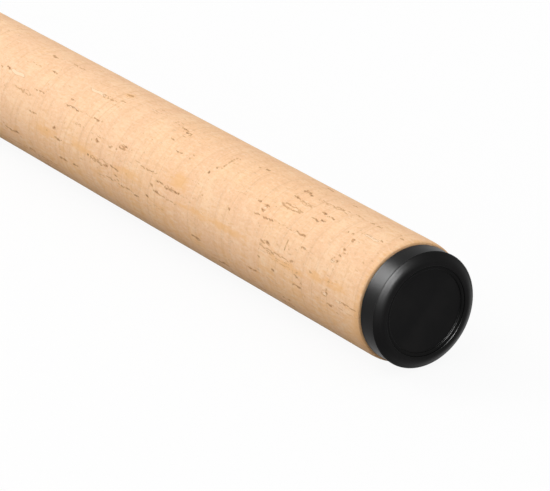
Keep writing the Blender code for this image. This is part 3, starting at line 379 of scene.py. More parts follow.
def cork():
    """Sanded natural cork.

    The growth field counts millimetres across the growth layers: faint lines stand where it crosses the
    borders of a row of uneven cells, and slow noise along it gives the bands between them. The crack,
    amber, filler and shade fields are drawn on the mesh, and fine noise roughens their edges here. The
    amber field holds amber stains and painted shade: darker orange bands along the lower side and by
    the cap.
    """
    made = Finish("sanded_cork", specular=0.04)
    growth = made.field("growth")
    fine = made.noise(2100.0, 4.0, 0.62)
    grain = made.streaks(1150.0, 2000.0, 3.0, 0.6)
    fibre = made.streaks(430.0, 1400.0, 3.0, 0.55)
    fleck = made.streaks(420.0, 1900.0, 2.0, 0.55)
    blotch = made.noise(170.0, 4.0, 0.6)
    made.tones(blotch, 0.3, 0.7, (0.895, 0.555, 0.325), (0.955, 0.645, 0.40))
    made.lay(made.field("shade"), 0.0, 1.0, 0.55, (0.90, 0.56, 0.345))
    made.lay(made.noise(38.0, 2.0), 0.4, 0.7, 0.35, (0.935, 0.575, 0.305))

    # The growth layers, which come and go in patches.
    slow = made.bands_of(growth, 0.3)
    made.lay(slow, 0.45, 0.7, 0.32, (0.84, 0.495, 0.275))
    patch = made.band(made.noise(95.0, 2.0), 0.38, 0.6)
    waver = made.math("MULTIPLY_ADD", made.math("SUBTRACT", blotch, 0.5), 0.9, growth)
    quick = made.band(made.bands_of(waver, 1.7), 0.48, 0.72, 0.0, 0.24)
    made.blend(made.times(quick, patch), (0.80, 0.47, 0.26))
    cells = {"W": waver, "Scale": 0.34, "Randomness": 1.0}
    cells = made.add("TexVoronoi", cells, voronoi_dimensions="1D", feature="DISTANCE_TO_EDGE")
    line = made.band(cells.outputs["Distance"], 0.0, 0.15, 1.0, 0.0)
    line = made.times(line, made.band(slow, 0.36, 0.6, 0.03, 0.28))
    line = made.times(line, made.math("MULTIPLY_ADD", patch, 0.7, 0.3))
    made.blend(line, (0.66, 0.37, 0.19))

    # The grain and the flecks, pale and dark.
    made.lay(fibre, 0.50, 0.72, 0.45, (0.80, 0.475, 0.255))
    made.lay(fibre, 0.48, 0.30, 0.34, (0.975, 0.72, 0.49))
    made.lay(grain, 0.44, 0.72, 0.32, (0.975, 0.735, 0.52))
    made.lay(fine, 0.54, 0.72, 0.42, (0.69, 0.41, 0.225))
    made.lay(fleck, 0.66, 0.76, 0.5, (0.60, 0.34, 0.18))

    # The amber stains with painted shade, the glue lines, the fillings and the lenticels.
    uneven = made.plus(made.math("SUBTRACT", blotch, 0.5), made.math("SUBTRACT", fibre, 0.5))
    amber_and_painted_shade = made.math("MULTIPLY_ADD", uneven, 1.5, made.field("amber_and_painted_shade"))
    # Darker orange for the amber stains and for the painted shade along the lower side and by the cap.
    made.lay(amber_and_painted_shade, 0.1, 1.05, 0.62, (0.885, 0.49, 0.2))
    strands = made.streaks(1100.0, 3600.0, 3.0, 0.65)
    ragged = made.times(made.math("SUBTRACT", strands, 0.5), 2.6)
    joint = made.plus(made.field("joint"), made.times(ragged, 0.5))
    made.lay(joint, 0.5, 1.0, 0.3, (0.60, 0.34, 0.17))
    filler = made.plus(made.field("filler"), made.times(ragged, 0.25))
    made.lay(filler, 0.1, 0.32, 0.5, (0.56, 0.3, 0.15))
    made.lay(filler, 0.34, 0.5, 0.9, (0.965, 0.70, 0.48))
    crack = made.times(made.field("crack"), made.math("MULTIPLY_ADD", ragged, 0.6, 1.0))
    made.lay(crack, 0.04, 0.46, 0.74, (0.60, 0.295, 0.128))
    pits = made.band(made.noise(1700.0, 2.0, 0.6), 0.40, 0.60, 0.12, 1.0)
    core = made.times(made.band(crack, 0.42, 0.9), pits)
    made.blend(made.times(core, 0.92), (0.29, 0.108, 0.034))
    crumb = made.times(made.band(crack, 0.3, 0.6), made.band(strands, 0.56, 0.66, 0.0, 0.55))
    made.blend(crumb, (0.93, 0.64, 0.40))

    made.set("Roughness", made.band(blotch, 0.3, 0.7, 0.68, 0.82))
    height = made.plus(made.times(fine, 0.5), made.times(grain, 0.5))
    made.bump(made.math("SUBTRACT", height, made.times(line, 0.35)), 0.00004, 0.4)
    return made.material


def graphite():
    """A wound graphite tube under clear coat: the tape's spiral edge shows as a low ridge."""
    made = Finish("graphite_under_clear_coat", specular=0.2)
    lap = made.math("ABSOLUTE", made.math("SUBTRACT", made.spiral(0.0019), 0.5))
    ridge = made.band(lap, 0.36, 0.5)
    fibre = made.streaks(260.0, 5200.0, 3.0, 0.6)
    made.tones(fibre, 0.4, 0.75, (0.0125, 0.0135, 0.0165), (0.034, 0.036, 0.041))
    made.blend(made.times(ridge, 0.35), (0.008, 0.0085, 0.01))
    made.set("Roughness", made.band(made.noise(60.0), 0.3, 0.7, 0.36, 0.5))
    made.coat(0.22, 0.16)
    made.bump(made.plus(ridge, made.times(fibre, 0.25)), 0.00002, 0.5)
    return made.material


def seat_black():
    """Moulded black plastic of the reel seat, satin, with a fine even texture."""
    made = Finish("moulded_seat_black", specular=0.2)
    fine = made.noise(4200.0, 2.0)
    cloud = made.noise(90.0)
    flow = made.streaks(60.0, 700.0, 2.0)
    made.tones(cloud, 0.3, 0.7, (0.0125, 0.0125, 0.0132), (0.02, 0.0198, 0.0205))
    made.lay(fine, 0.58, 0.75, 0.4, (0.032, 0.0315, 0.032))
    rough = made.plus(made.band(cloud, 0.3, 0.7, 0.36, 0.46), made.band(flow, 0.4, 0.7, 0.0, 0.05))
    made.set("Roughness", rough)
    made.bump(fine, 0.00002, 0.4)
    return made.material


def polished_steel():
    """Satin metal of the hoods: fine brushed lines round them and a few soft smudges."""
    made = Finish("satin_stainless", metallic=1.0)
    lines = made.streaks(6500.0, 240.0)
    broad = made.streaks(900.0, 60.0, 2.0)
    smudge = made.noise(90.0)
    made.tones(smudge, 0.3, 0.75, (0.2, 0.2, 0.207), (0.26, 0.26, 0.265))
    made.lay(lines, 0.35, 0.7, 0.5, (0.14, 0.14, 0.145))
    made.lay(broad, 0.5, 0.75, 0.3, (0.32, 0.32, 0.325))
    rough = made.plus(made.band(smudge, 0.35, 0.75, 0.3, 0.38), made.band(lines, 0.4, 0.7, 0.0, 0.08))
    made.set("Roughness", rough)
    made.bump(lines, 0.000006, 0.3)
    return made.material


def black_wire():
    """Black chromed wire and tube of the guides, with a slight ripple."""
    made = Finish("black_chromed_wire", specular=0.3)
    waves = made.noise(700.0)
    fine = made.noise(5200.0, 2.0)
    made.tones(waves, 0.35, 0.7, (0.017, 0.017, 0.0185), (0.03, 0.03, 0.032))
    rough = made.plus(made.band(waves, 0.35, 0.7, 0.18, 0.27), made.band(fine, 0.5, 0.75, 0.0, 0.06))
    made.set("Roughness", rough)
    made.bump(fine, 0.000006, 0.2)
    return made.material


def ceramic():
    """Polished dark grey ceramic of the line rings, with a faint cloudiness."""
    made = Finish("polished_guide_ceramic", specular=0.35)
    cloud = made.noise(420.0, 4.0)
    made.tones(cloud, 0.35, 0.7, (0.04, 0.041, 0.046), (0.068, 0.069, 0.075))
    made.lay(made.noise(3600.0, 2.0), 0.6, 0.78, 0.5, (0.11, 0.11, 0.118))
    made.set("Roughness", made.band(cloud, 0.3, 0.7, 0.1, 0.17))
    return made.material


def thread_winding():
    """Dark red thread under clear resin. The turns of thread are in the mesh."""
    made = Finish("wound_thread_in_resin")
    fuzz = made.noise(2600.0)
    # Painted shade across each turn of thread: darker just past the groove between turns, lighter before the
    # next.
    made.tones(made.spiral(WOUND_PITCH), 0.1, 0.6, (0.028, 0.006, 0.006), (0.075, 0.013, 0.012))
    made.lay(fuzz, 0.5, 0.8, 0.5, (0.11, 0.026, 0.022))
    made.set("Roughness", made.band(fuzz, 0.3, 0.7, 0.4, 0.52))
    made.coat(0.35, 0.1)
    made.bump(fuzz, 0.00001, 0.2)
    return made.material


def plain_moulding(name, dark, light, roughness, scale, depth):
    """A moulded or turned filling material: two tones in a cloud, with a grain of the given scale."""
    made = Finish(name, specular=0.4)
    grain = made.noise(scale, 4.0, 0.6)
    made.tones(made.noise(scale * 0.1), 0.3, 0.7, dark, light)
    made.lay(grain, 0.5, 0.75, 0.5, tuple(c * 0.6 for c in dark))
    made.set("Roughness", made.band(grain, 0.3, 0.7, roughness - 0.06, min(roughness + 0.08, 1.0)))
    made.bump(grain, depth, 0.5)
    return made.material


def turned_brass():
    """Brass with the rings of the turning tool."""
    made = Finish("turned_brass", metallic=1.0)
    rings = made.streaks(4200.0, 80.0, 2.0)
    stain = made.noise(240.0, 4.0)
    made.tones(stain, 0.4, 0.75, (0.66, 0.48, 0.2), (0.45, 0.29, 0.1))
    rough = made.plus(made.band(stain, 0.3, 0.7, 0.24, 0.38), made.band(rings, 0.4, 0.7, 0.0, 0.06))
    made.set("Roughness", rough)
    made.bump(rings, 0.00002, 0.4)
    return made.material


WOUND_PITCH = 0.00034  # from one turn of the wound thread to the next, in metres

# Each finish that a new piece takes, with the record's slot for it. The last three are for solids.
ANODISED = anodised_black(), "black_anodised"
DISC = disc_black(), "end_disc_black"
CORK = cork(), "cork"
GRAPHITE = graphite(), "graphite_blank"
SEAT = seat_black(), "seat_black"
STEEL = polished_steel(), "polished_steel"
WIRE = black_wire(), "black_steel"
CERAMIC = ceramic(), "guide_ceramic"
WINDING = thread_winding(), "winding_thread"
LINER = plain_moulding("soft_black_liner", (0.022,) * 3, (0.036,) * 3, 0.6, 3400.0, 0.00003), "liner_plastic"
RUBBER = plain_moulding("matt_black_rubber", (0.017,) * 3, (0.028, 0.027, 0.026), 0.78, 2600.0, 0.00005)
FOAM = plain_moulding("hard_filler_foam", (0.42, 0.38, 0.31), (0.52, 0.48, 0.41), 0.85, 1300.0, 0.0001)
BRASS = turned_brass()

# Butt cap

RIM_X, RECESS_FLOOR = -0.6, 1.6  # the narrow rim, and the recess behind the disc, whose face is at x = 0
RECESS_RADIUS, DISC_RADIUS = 10.32, 10.3
CAP_BACK, STUB_FRONT, STUB_RADIUS = 5.25, 16.75, 7.186


def butt_cap():
    """The cap as one turned profile, with the thread of its stub as a relief.

    From the recess a narrow rim runs out to a wide bevel of two facets, whose edge is the lip at radius
    13.37. Behind the lip's small step the collar is a straight cone that grows from 13.16 to 13.36 at
    the cork. The stub carries the thread, and the spigot ahead of it the shock pad.
    """
    spigot_front, spigot_radius = STUB_FRONT + 7.0, 3.0
    corners = [
        # The recess and the rim, the bevel with the lip, the collar, the stub and the spigot.
        (RECESS_FLOOR, 0.5, 0.0), (RECESS_FLOOR, RECESS_RADIUS, 0.12), (RIM_X, RECESS_RADIUS, 0.28),
        (RIM_X, 11.25, 0.3), (-0.37, 11.95, 0.45), (0.42, 13.18, 0.22), (0.72, 13.43, 0.16),
        (0.9, 13.16, 0.05), (CAP_BACK, 13.36, 0.3), (CAP_BACK, 7.5, 0.3), (6.4, 6.55, 0.2),
        (6.9, STUB_RADIUS, 0.1), (STUB_FRONT, STUB_RADIUS, 0.5), (STUB_FRONT, spigot_radius, 0.2),
        (spigot_front, spigot_radius, 0.3), (spigot_front, 0.2, 0.0),
    ]

    def relief(x, turn, radius):
        """The thread, on the stub's skin alone."""
        on_stub = (radius > 0.0064) & (radius < 0.0073)
        return np.where(on_stub, thread(x, turn, *STUB_THREAD), 0.0)

    profile = dense(eased(corners, steps=11), 0.0002)
    piece("butt_cap", [close_grid(turned(profile, once_round(160), relief))], ANODISED, "cap")


def end_disc():
    """The disc set in the cap: a flat face inside a border that stands 0.36 mm above it."""
    back, middle = 1.3, 0.3
    border = [(0.0, 9.5, 0.1), (-0.36, 9.55, 0.26), (-0.36, DISC_RADIUS, 0.03)]
    corners = [(0.0, middle, 0.0), *border, (back, DISC_RADIUS, 0.1), (back, middle, 0.0)]
    profile = dense(eased(corners, steps=9), 0.0006)
    piece("butt_cap_disc", [close_grid(turned(profile, once_round(240)))], DISC, "cap")


butt_cap()
end_disc()

# Cork grips

GRIP_REAR, GRIP_FRONT, GRIP_RADIUS, GRIP_BORE = 5.55, 245.55, 14.0, 9.5
FORE_REAR, FORE_FRONT, FORE_RADIUS, FORE_BORE = 361.95, 416.95, 13.0, 8.98
# The glue lines between the rings of each grip. The rear grip's mesh is cut at three of them.
REAR_JOINTS = np.array([17.0, 30.2, 43.7, 58.0, 73.0, 87.4, *(101.8 + 14.4 * np.arange(10))])
REAR_CUTS = [GRIP_REAR, 73.0, 130.6, 188.2, GRIP_FRONT]
FORE_JOINTS = np.array([369.2, 383.6, 398.0, 412.4])
CORK_COLUMNS, CORK_STEP = 432, 0.34
CRACK_DEPTH, GLUE_DEPTH, SKIN_WAVES = 0.035, 0.02, 0.012


def rear_grip_radius(x):
    """14 mm, eased down by quarter ellipses of 0.45 by 2.6 mm at the rear and 1.1 by 4 mm at the front."""
    rear, front = quarter_fall(x - GRIP_REAR, 2.6), quarter_fall(GRIP_FRONT - x, 4.0)
    return GRIP_RADIUS - 0.45 * rear - 1.1 * front


def fore_grip_radius(x):
    """From 13 mm down by 1.6 mm times the square of the way along, with ends eased over 2 mm."""
    t = (x - FORE_REAR) / (FORE_FRONT - FORE_REAR)
    ends = quarter_fall(x - FORE_REAR, 2.0) + quarter_fall(FORE_FRONT - x, 2.0)
    return FORE_RADIUS - 1.6 * t**2 - ends


def ripple(x, turn, luck, count, along, fold):
    """A smooth closed pattern: the sum of sines of k x + n turn + phase, over the root of their count.

    k is drawn up to the number along, per millimetre, and n is a whole number up to the fold, so that
    the pattern meets itself round the grip.
    """
    total = 0.0
    for _ in range(count):
        k = luck.uniform(-along, along)
        n = luck.integers(0, fold + 1)
        total = total + np.sin(k * x + n * turn + luck.uniform(0.0, FULL_TURN))
    return total / math.sqrt(count)


# Lenticels, the brown channels across the rings: start and end in x, degrees from the top towards the
# camera's side, half width in millimetres and depth of tone. A tone near 0.4 is a hairline.
LENTICELS = [
    (10.3, 11.2, 16.2, 0.34, 0.9), (11.2, 16.6, 17.6, 0.16, 0.5), (18.6, 19.4, 24.2, 0.26, 0.7),
    (20.2, 20.7, 24.8, 0.34, 0.9), (27.0, 37.6, 6.4, 0.2, 0.5), (28.6, 31.4, 5.0, 0.22, 0.8),
    (39.8, 41.4, 7.4, 0.3, 0.95), (41.2, 43.6, 6.0, 0.34, 0.9), (42.4, 43.6, 4.4, 0.26, 0.8),
    (27.0, 29.9, 20.2, 0.26, 0.9), (30.3, 32.4, 18.7, 0.32, 1.0), (36.0, 39.8, 19.6, 0.18, 0.55),
    (40.9, 43.8, 18.2, 0.3, 0.95), (28.4, 30.3, 26.6, 0.42, 1.0), (30.3, 33.4, 29.5, 0.26, 0.95),
    (36.0, 43.7, 28.8, 0.18, 0.65), (37.4, 44.0, 32.0, 0.18, 0.7), (30.3, 33.8, 48.0, 0.3, 1.0),
    (33.8, 42.8, 49.0, 0.13, 0.5), (42.5, 46.4, 50.6, 0.26, 1.0), (47.6, 49.9, 51.2, 0.24, 0.85),
    (46.6, 48.0, 40.2, 0.4, 0.9), (47.2, 48.5, 45.0, 0.44, 1.0), (50.0, 51.2, 39.2, 0.4, 0.9),
    (28.1, 30.0, 58.0, 0.3, 1.0), (34.6, 35.1, 60.6, 0.6, 0.75), (34.5, 35.0, 66.8, 0.6, 0.75),
    (40.2, 41.9, 70.0, 0.26, 0.95), (42.0, 43.7, 71.2, 0.24, 0.9), (30.6, 31.9, 73.6, 0.3, 0.9),
    (32.0, 44.0, 75.2, 0.17, 0.62), (38.0, 41.0, 76.6, 0.2, 0.75), (28.0, 29.8, 84.6, 0.28, 0.85),
    (30.0, 40.0, 81.4, 0.12, 0.42), (5.4, 12.4, 85.6, 0.18, 0.85), (14.9, 16.8, 93.7, 0.28, 0.9),
    (26.4, 30.3, 93.7, 0.26, 0.95), (37.4, 38.6, 92.0, 0.34, 0.9), (43.0, 44.2, 86.0, 0.24, 0.7),
    (44.0, 48.4, 103.4, 0.26, 0.8), (40.8, 43.4, -18.6, 0.3, 0.9), (28.8, 30.6, -10.8, 0.3, 0.6),
    (58.0, 59.3, 5.4, 0.6, 0.85), (60.8, 61.4, 8.0, 0.3, 0.6), (57.9, 58.9, 60.2, 0.36, 0.95),
    (67.9, 68.7, 10.2, 0.34, 0.6), (69.0, 69.6, 17.0, 0.4, 0.55), (69.0, 69.6, 26.4, 0.4, 0.55),
    (70.2, 70.9, 31.2, 0.44, 0.85), (71.4, 72.1, 38.8, 0.44, 0.9), (80.2, 81.1, 36.4, 0.24, 0.7),
    (83.8, 87.0, 35.8, 0.2, 0.85), (88.1, 90.4, 12.0, 0.3, 1.0), (90.2, 93.4, 9.8, 0.3, 0.95),
    (94.6, 97.8, 8.0, 0.18, 0.5), (90.2, 91.8, 27.3, 0.24, 0.75), (77.6, 79.6, 71.6, 0.38, 1.0),
    (79.8, 82.4, 71.2, 0.26, 0.8), (82.4, 84.2, 72.0, 0.3, 0.9), (84.4, 88.0, 70.6, 0.24, 0.85),
    (74.2, 77.4, 71.6, 0.13, 0.5), (88.2, 95.2, 65.0, 0.18, 0.75), (95.2, 98.6, 63.8, 0.12, 0.45),
    (85.2, 88.3, 80.8, 0.34, 1.0), (78.0, 85.2, 81.8, 0.16, 0.6), (88.4, 89.9, 76.4, 0.4, 0.8),
    (89.6, 91.4, 89.6, 0.28, 0.9), (94.0, 96.8, 96.4, 0.26, 0.95), (96.8, 103.4, 94.4, 0.2, 0.8),
    (102.4, 105.0, 57.0, 0.26, 0.9), (103.2, 105.8, 59.6, 0.34, 1.0), (106.2, 107.0, 62.6, 0.24, 0.6),
    (113.9, 115.8, 64.8, 0.5, 0.8), (117.0, 117.5, 66.2, 0.24, 0.7), (103.0, 107.4, 81.0, 0.26, 0.9),
    (108.2, 110.4, 82.6, 0.3, 0.95), (110.4, 113.4, 84.4, 0.24, 0.9), (113.2, 116.2, 83.4, 0.2, 0.7),
    (116.9, 117.6, 82.4, 0.36, 1.0), (103.8, 105.0, 87.0, 0.26, 0.8), (104.4, 108.8, 93.4, 0.24, 0.8),
    (117.2, 119.8, 4.2, 0.5, 0.65), (116.0, 118.0, 16.0, 0.26, 0.6), (118.0, 123.4, 20.6, 0.16, 0.55),
    (117.7, 120.4, 46.7, 0.3, 1.0), (120.4, 126.6, 47.4, 0.12, 0.45), (126.6, 133.4, 47.9, 0.24, 0.85),
    (130.6, 132.9, 40.7, 0.24, 0.85), (123.6, 125.8, 59.2, 0.24, 0.6), (133.2, 134.6, 75.0, 0.42, 0.95),
    (129.6, 133.3, 83.9, 0.28, 0.95), (68.2, 71.9, 105.0, 0.5, 0.8), (122.6, 124.8, 101.6, 0.4, 0.8),
    (127.6, 131.4, 103.0, 0.4, 0.8), (139.2, 147.0, 2.4, 0.2, 0.6), (144.6, 147.4, 24.2, 0.26, 0.85),
    (142.6, 147.8, 49.6, 0.22, 0.7), (142.6, 147.0, 71.6, 0.22, 0.75), (150.6, 155.8, 57.3, 0.18, 0.6),
    (161.0, 163.2, 43.8, 0.36, 0.9), (164.4, 165.4, 45.6, 0.26, 0.7), (151.0, 158.0, 103.6, 0.34, 0.7),
    # The dots along the glue line at x = 17 mm.
    *((16.7, 17.5, degrees, 0.34, 0.75) for degrees in (28.6, 31.0, 41.4, 48.4, 53.0, 74.0, 84.6)),
    # Lesser ones, and a row of dots near x = 69 mm.
    (7.5, 8.7, 1.4, 0.32, 0.6), (15.5, 17.2, 1.4, 0.5, 0.5), (18.3, 19.8, 1.8, 0.3, 0.6),
    (22.0, 25.8, 1.8, 0.16, 0.5), (26.0, 29.7, 3.4, 0.15, 0.5), (32.6, 37.8, 8.3, 0.14, 0.5),
    (41.0, 42.2, 32.4, 0.26, 0.85), (15.4, 16.8, 43.7, 0.18, 0.6), (23.2, 24.4, 74.3, 0.3, 0.7),
    (33.0, 33.7, 65.6, 0.26, 0.6), (37.3, 38.3, 66.2, 0.26, 0.6), (34.6, 35.1, 63.6, 0.4, 0.6),
    (31.8, 44.4, 78.8, 0.12, 0.45), (5.0, 16.0, 92.0, 0.12, 0.4), (17.0, 17.6, 82.0, 0.5, 0.5),
    (26.6, 27.3, 88.4, 0.26, 0.6), (87.8, 88.8, 13.6, 0.24, 0.8), (88.6, 89.7, 18.6, 0.2, 0.6),
    (94.2, 97.4, 4.6, 0.12, 0.45), (80.0, 81.0, 31.0, 0.16, 0.5), (87.0, 88.6, 70.0, 0.2, 0.6),
    (112.4, 118.6, 60.4, 0.13, 0.45), (108.6, 109.8, 64.6, 0.3, 0.6), (103.0, 104.6, 90.4, 0.26, 0.6),
    (109.0, 113.0, 95.4, 0.16, 0.5),
    *((69.0, 69.5, degrees, 0.55, 0.42) for degrees in (11.0, 14.0, 20.5, 23.5, 29.0)),
]
# Closed outlines, where two channels part and meet: x, degrees, length and width in millimetres.
LOOPS = [
    (38.2, 19.8, 3.8, 0.7), (40.6, 30.4, 6.6, 0.9), (17.9, 53.8, 2.0, 1.0), (18.0, 85.6, 1.9, 1.2),
    (42.0, 70.4, 3.2, 0.6), (47.7, 42.8, 1.7, 1.4), (80.6, 71.4, 1.9, 0.9), (82.8, 71.6, 1.6, 0.7),
    (42.4, 6.0, 2.4, 1.0), (110.6, 81.8, 4.6, 1.1), (114.8, 83.0, 2.6, 0.8), (104.6, 58.2, 2.4, 0.9),
    (122.4, 20.4, 4.4, 0.8), (150.0, 57.0, 4.0, 0.9),
]
# Light patches with a brown edge, in the same order.
FILLS = [
    (13.8, 18.4, 5.4, 0.8), (18.3, 54.6, 1.3, 0.9), (17.6, 86.0, 1.6, 0.9), (47.6, 42.8, 1.0, 0.7),
    (81.0, 71.4, 2.0, 0.6), (126.8, 20.6, 7.6, 1.0), (129.4, 47.8, 4.4, 0.6), (157.4, 44.4, 7.4, 1.1),
    (12.6, 85.8, 2.6, 0.5),
]
# Amber stains and painted shade, in the same order. Most are a band of painted shade along the
# grip near 80 degrees from the top, where the light falls off.
AMBER_AND_PAINTED_SHADE = [
    (14.8, 74.0, 12.0, 2.6), (21.5, 76.0, 8.0, 2.4), (31.0, 80.0, 16.0, 2.0), (58.0, 78.4, 20.0, 2.2),
    (71.0, 79.6, 16.0, 2.4), (79.0, 62.0, 9.0, 5.0), (100.0, 79.0, 12.0, 3.0), (121.0, 80.0, 14.0, 3.0),
    (138.0, 84.0, 12.0, 3.0), (118.6, 4.0, 3.4, 1.6),
]
# How pink and dark each ring is, from the butt on.
RING_SHADES = [0.2, 0.3, 0.25, 0.6, 0.3, 0.95, 0.1, 0.55, 0.3, 0.7, 0.5]
# More loops, round the rest of the rear grip: the ranges of x, degrees, length and width.
LOOP_RANGES = ((8.0, 243.0), (118.0, 324.0), (2.0, 6.0), (0.6, 1.3))


def scatter(luck, low, high, families, joints):
    """More lenticels over a grip, in families of near parallel ones that each end at a glue line."""
    edges = np.concatenate([[low], joints, [high]])
    marks = []
    for _ in range(families):
        ring = luck.integers(0, len(edges) - 1)
        start, end = edges[ring] + 0.2, edges[ring + 1] - 0.2
        middle = luck.uniform(-180.0, 180.0)
        for _ in range(luck.integers(1, 6)):
            length = (end - start) * luck.uniform(0.08, 1.0) ** 1.5
            a = luck.choice([start, end - length, luck.uniform(start, max(end - length, start + 0.1))])
            thin = length > 0.4 * (end - start)
            tone = luck.uniform(0.45, 0.75) if thin else luck.uniform(0.7, 1.0)
            width = luck.uniform(0.12, 0.22) if thin else luck.uniform(0.22, 0.46)
            marks.append((a, a + max(length, 0.7), middle + luck.normal(0.0, 7.0), width, tone))
    return marks


def specks(luck, low, high, count):
    """Small pale specks and hairlines over a grip, with no pattern."""
    marks = []
    for _ in range(count):
        hair = luck.uniform() < 0.25
        length = luck.uniform(1.5, 6.0) if hair else luck.uniform(0.25, 0.9)
        width = luck.uniform(0.08, 0.12) if hair else luck.uniform(0.12, 0.3)
        start = luck.uniform(low, high - length)
        marks.append((start, start + length, luck.uniform(-180.0, 180.0), width, luck.uniform(0.2, 0.48)))
    return marks


def cork_fields(x, turn, radius, joints, marks, loops, fills, amber_and_painted_shade_marks, shades, luck):
    """The drawn fields of the cork on a grid of x (mm) and turn.

    growth is x plus a tilt, R * slope * cos(turn - phase), that differs from ring to ring, plus a slow
    ripple. crack is the largest of the lenticels' tone * (1 - (distance / half width)^2), where the line
    wanders and its width swells by sines along x, and of the loops', which are outlines of ellipses 0.15
    mm to each side. filler and amber come from such ellipses, joint is 1 at a glue line and falls to
    nothing within 0.25 mm, and shade is the ring's own. amber also holds painted shade: a darker band
    by the cap, where the cork rounds into it, and a broad warm band round the lower side, at a turn of
    1.95 radians.
    """
    ring = np.searchsorted(joints, x[:, 0])

    def by_ring(low, high):
        """A number for each ring, drawn between low and high, at every row."""
        return luck.uniform(low, high, len(joints) + 1)[ring][:, None]

    slope, phase = by_ring(0.03, 0.22), by_ring(0.0, FULL_TURN)
    second, offset = by_ring(0.0, 0.05), by_ring(0.0, 400.0)
    shade = np.append(shades, luck.uniform(0.1, 0.9, len(joints) + 1))[ring][:, None]
    growth = x + offset + radius * (slope * np.cos(turn - phase) + second * np.cos(2.0 * turn + phase))
    growth = growth + 0.5 * ripple(x, turn, luck, 6, 0.25, 3)

    def near(start, end, degrees):
        """The rows about a mark, their x, and the distance round the grip from its line."""
        rows = slice(*np.searchsorted(x[:, 0], (start, end)))
        gap = np.mod(turn[rows] - math.radians(degrees) + math.pi, FULL_TURN) - math.pi
        return rows, x[rows], gap * radius[rows]

    crack, filler = np.zeros_like(x), np.zeros_like(x)
    for start, end, degrees, width, tone in marks:
        rows, at, away = near(start, end, degrees)
        share = np.clip((at - start) / (end - start), 0.0, 1.0)
        k, lag = luck.uniform(0.8, 2.2, 3), luck.uniform(0.0, FULL_TURN, 3)
        wander = 0.12 * np.sin(k[0] * at + lag[0]) + 0.07 * np.sin(2.7 * k[1] * at + lag[1])
        size = width * (0.4 + 0.6 * np.sqrt(np.sin(math.pi * share)))
        size = size * (0.85 + 0.4 * np.sin(2.0 * k[2] * at + lag[2]))
        crack[rows] = np.maximum(crack[rows], tone * (1.0 - ((away + wander) / size) ** 2))

    def ellipses(drawn, reach, lean, wave):
        """The rows about each ellipse, and the place in it along x and round, in its half sizes."""
        for middle, degrees, length, width in drawn:
            rows, at, away = near(middle - reach * length, middle + reach * length, degrees)
            bent = away + lean * np.sin(wave * at + middle)
            broken = 0.42 + 0.2 * np.sin(3.1 * at + 9.0 * away + middle)
            yield rows, 2.0 * (at - middle) / length, 2.0 * bent / width, width, broken

    for rows, along, across, width, broken in ellipses(loops, 1, 0.15, 1.9):
        outline = (np.sqrt(along**2 + across**2) - 1.0) * width / 0.3
        crack[rows] = np.maximum(crack[rows], broken * (1.0 - outline**2))
    for rows, along, across, *_ in ellipses(fills, 1, 0.12, 1.3):
        filler[rows] = np.maximum(filler[rows], 1.0 - (along**4 + across**2))
    # Painted shade: a darker orange band by the cap, and a broad warm band round the lower side.
    amber_and_painted_shade = 0.7 * np.exp(-(((x - GRIP_REAR) / 1.3) ** 2)) + 0.5 * np.exp(-(((turn - 1.95) / 0.5) ** 2))
    for rows, along, across, *_ in ellipses(amber_and_painted_shade_marks, 2, 0.0, 0.0):
        amber_and_painted_shade[rows] = np.maximum(amber_and_painted_shade[rows], np.exp(-(along**2 + across**2)))
    glue = np.abs(x[:, :1] - joints[None, :]).min(axis=1)[:, None]
    joint = np.clip(1.0 - glue / 0.25, 0.0, 1.0)
    fields = {"growth": growth, "crack": crack, "filler": filler}
    fields |= {"amber_and_painted_shade": amber_and_painted_shade, "joint": joint + 0.0 * x, "shade": shade + 0.0 * x}
    return fields


def cork_rings(name, low, high, size, bore, joints, drawn, seed, node):
    """A run of glued cork rings from x = low to high, with its lenticels sunk into it.

    The skin's radius is the grip's, less 0.035 mm times the crack field, less 0.02 mm at a glue line,
    plus a ripple of 0.012 mm. The bore closes it inside.
    """
    luck = np.random.default_rng(seed)
    inner = joints[(joints > low) & (joints < high)]
    ends = np.array([0.0, 0.05, 0.12, 0.22])
    marks = [np.arange(low, high, CORK_STEP), inner, inner - 0.12, inner + 0.12, low + ends, high - ends]
    marks = np.concatenate(marks)
    marks = np.unique(np.round(marks[(marks >= low) & (marks <= high)], 3))
    turn = once_round(CORK_COLUMNS)
    x, around = np.meshgrid(marks, turn, indexing="ij")
    radius = size(x)
    fields = cork_fields(x, around, radius, joints, *drawn, luck)
    skin = radius - CRACK_DEPTH * ramp(fields["crack"], 0.1, 1.0) - GLUE_DEPTH * fields["joint"]
    skin = skin + SKIN_WAVES * ripple(x, around, luck, 8, 0.6, 6)
    inside = np.array([[high, bore], [low, bore]])
    x = np.concatenate([x, inside[:, :1] + 0.0 * around[:2]])
    skin = np.concatenate([skin, inside[:, 1:] + 0.0 * around[:2]])
    fields = {key: np.concatenate([value, value[-1:], value[:1]]) for key, value in fields.items()}
    points = np.stack([x, skin * np.sin(turn), skin * np.cos(turn)], axis=-1) * MM
    piece(name, [close_grid(points, True, fields)], CORK, "handle", node, 50.0)


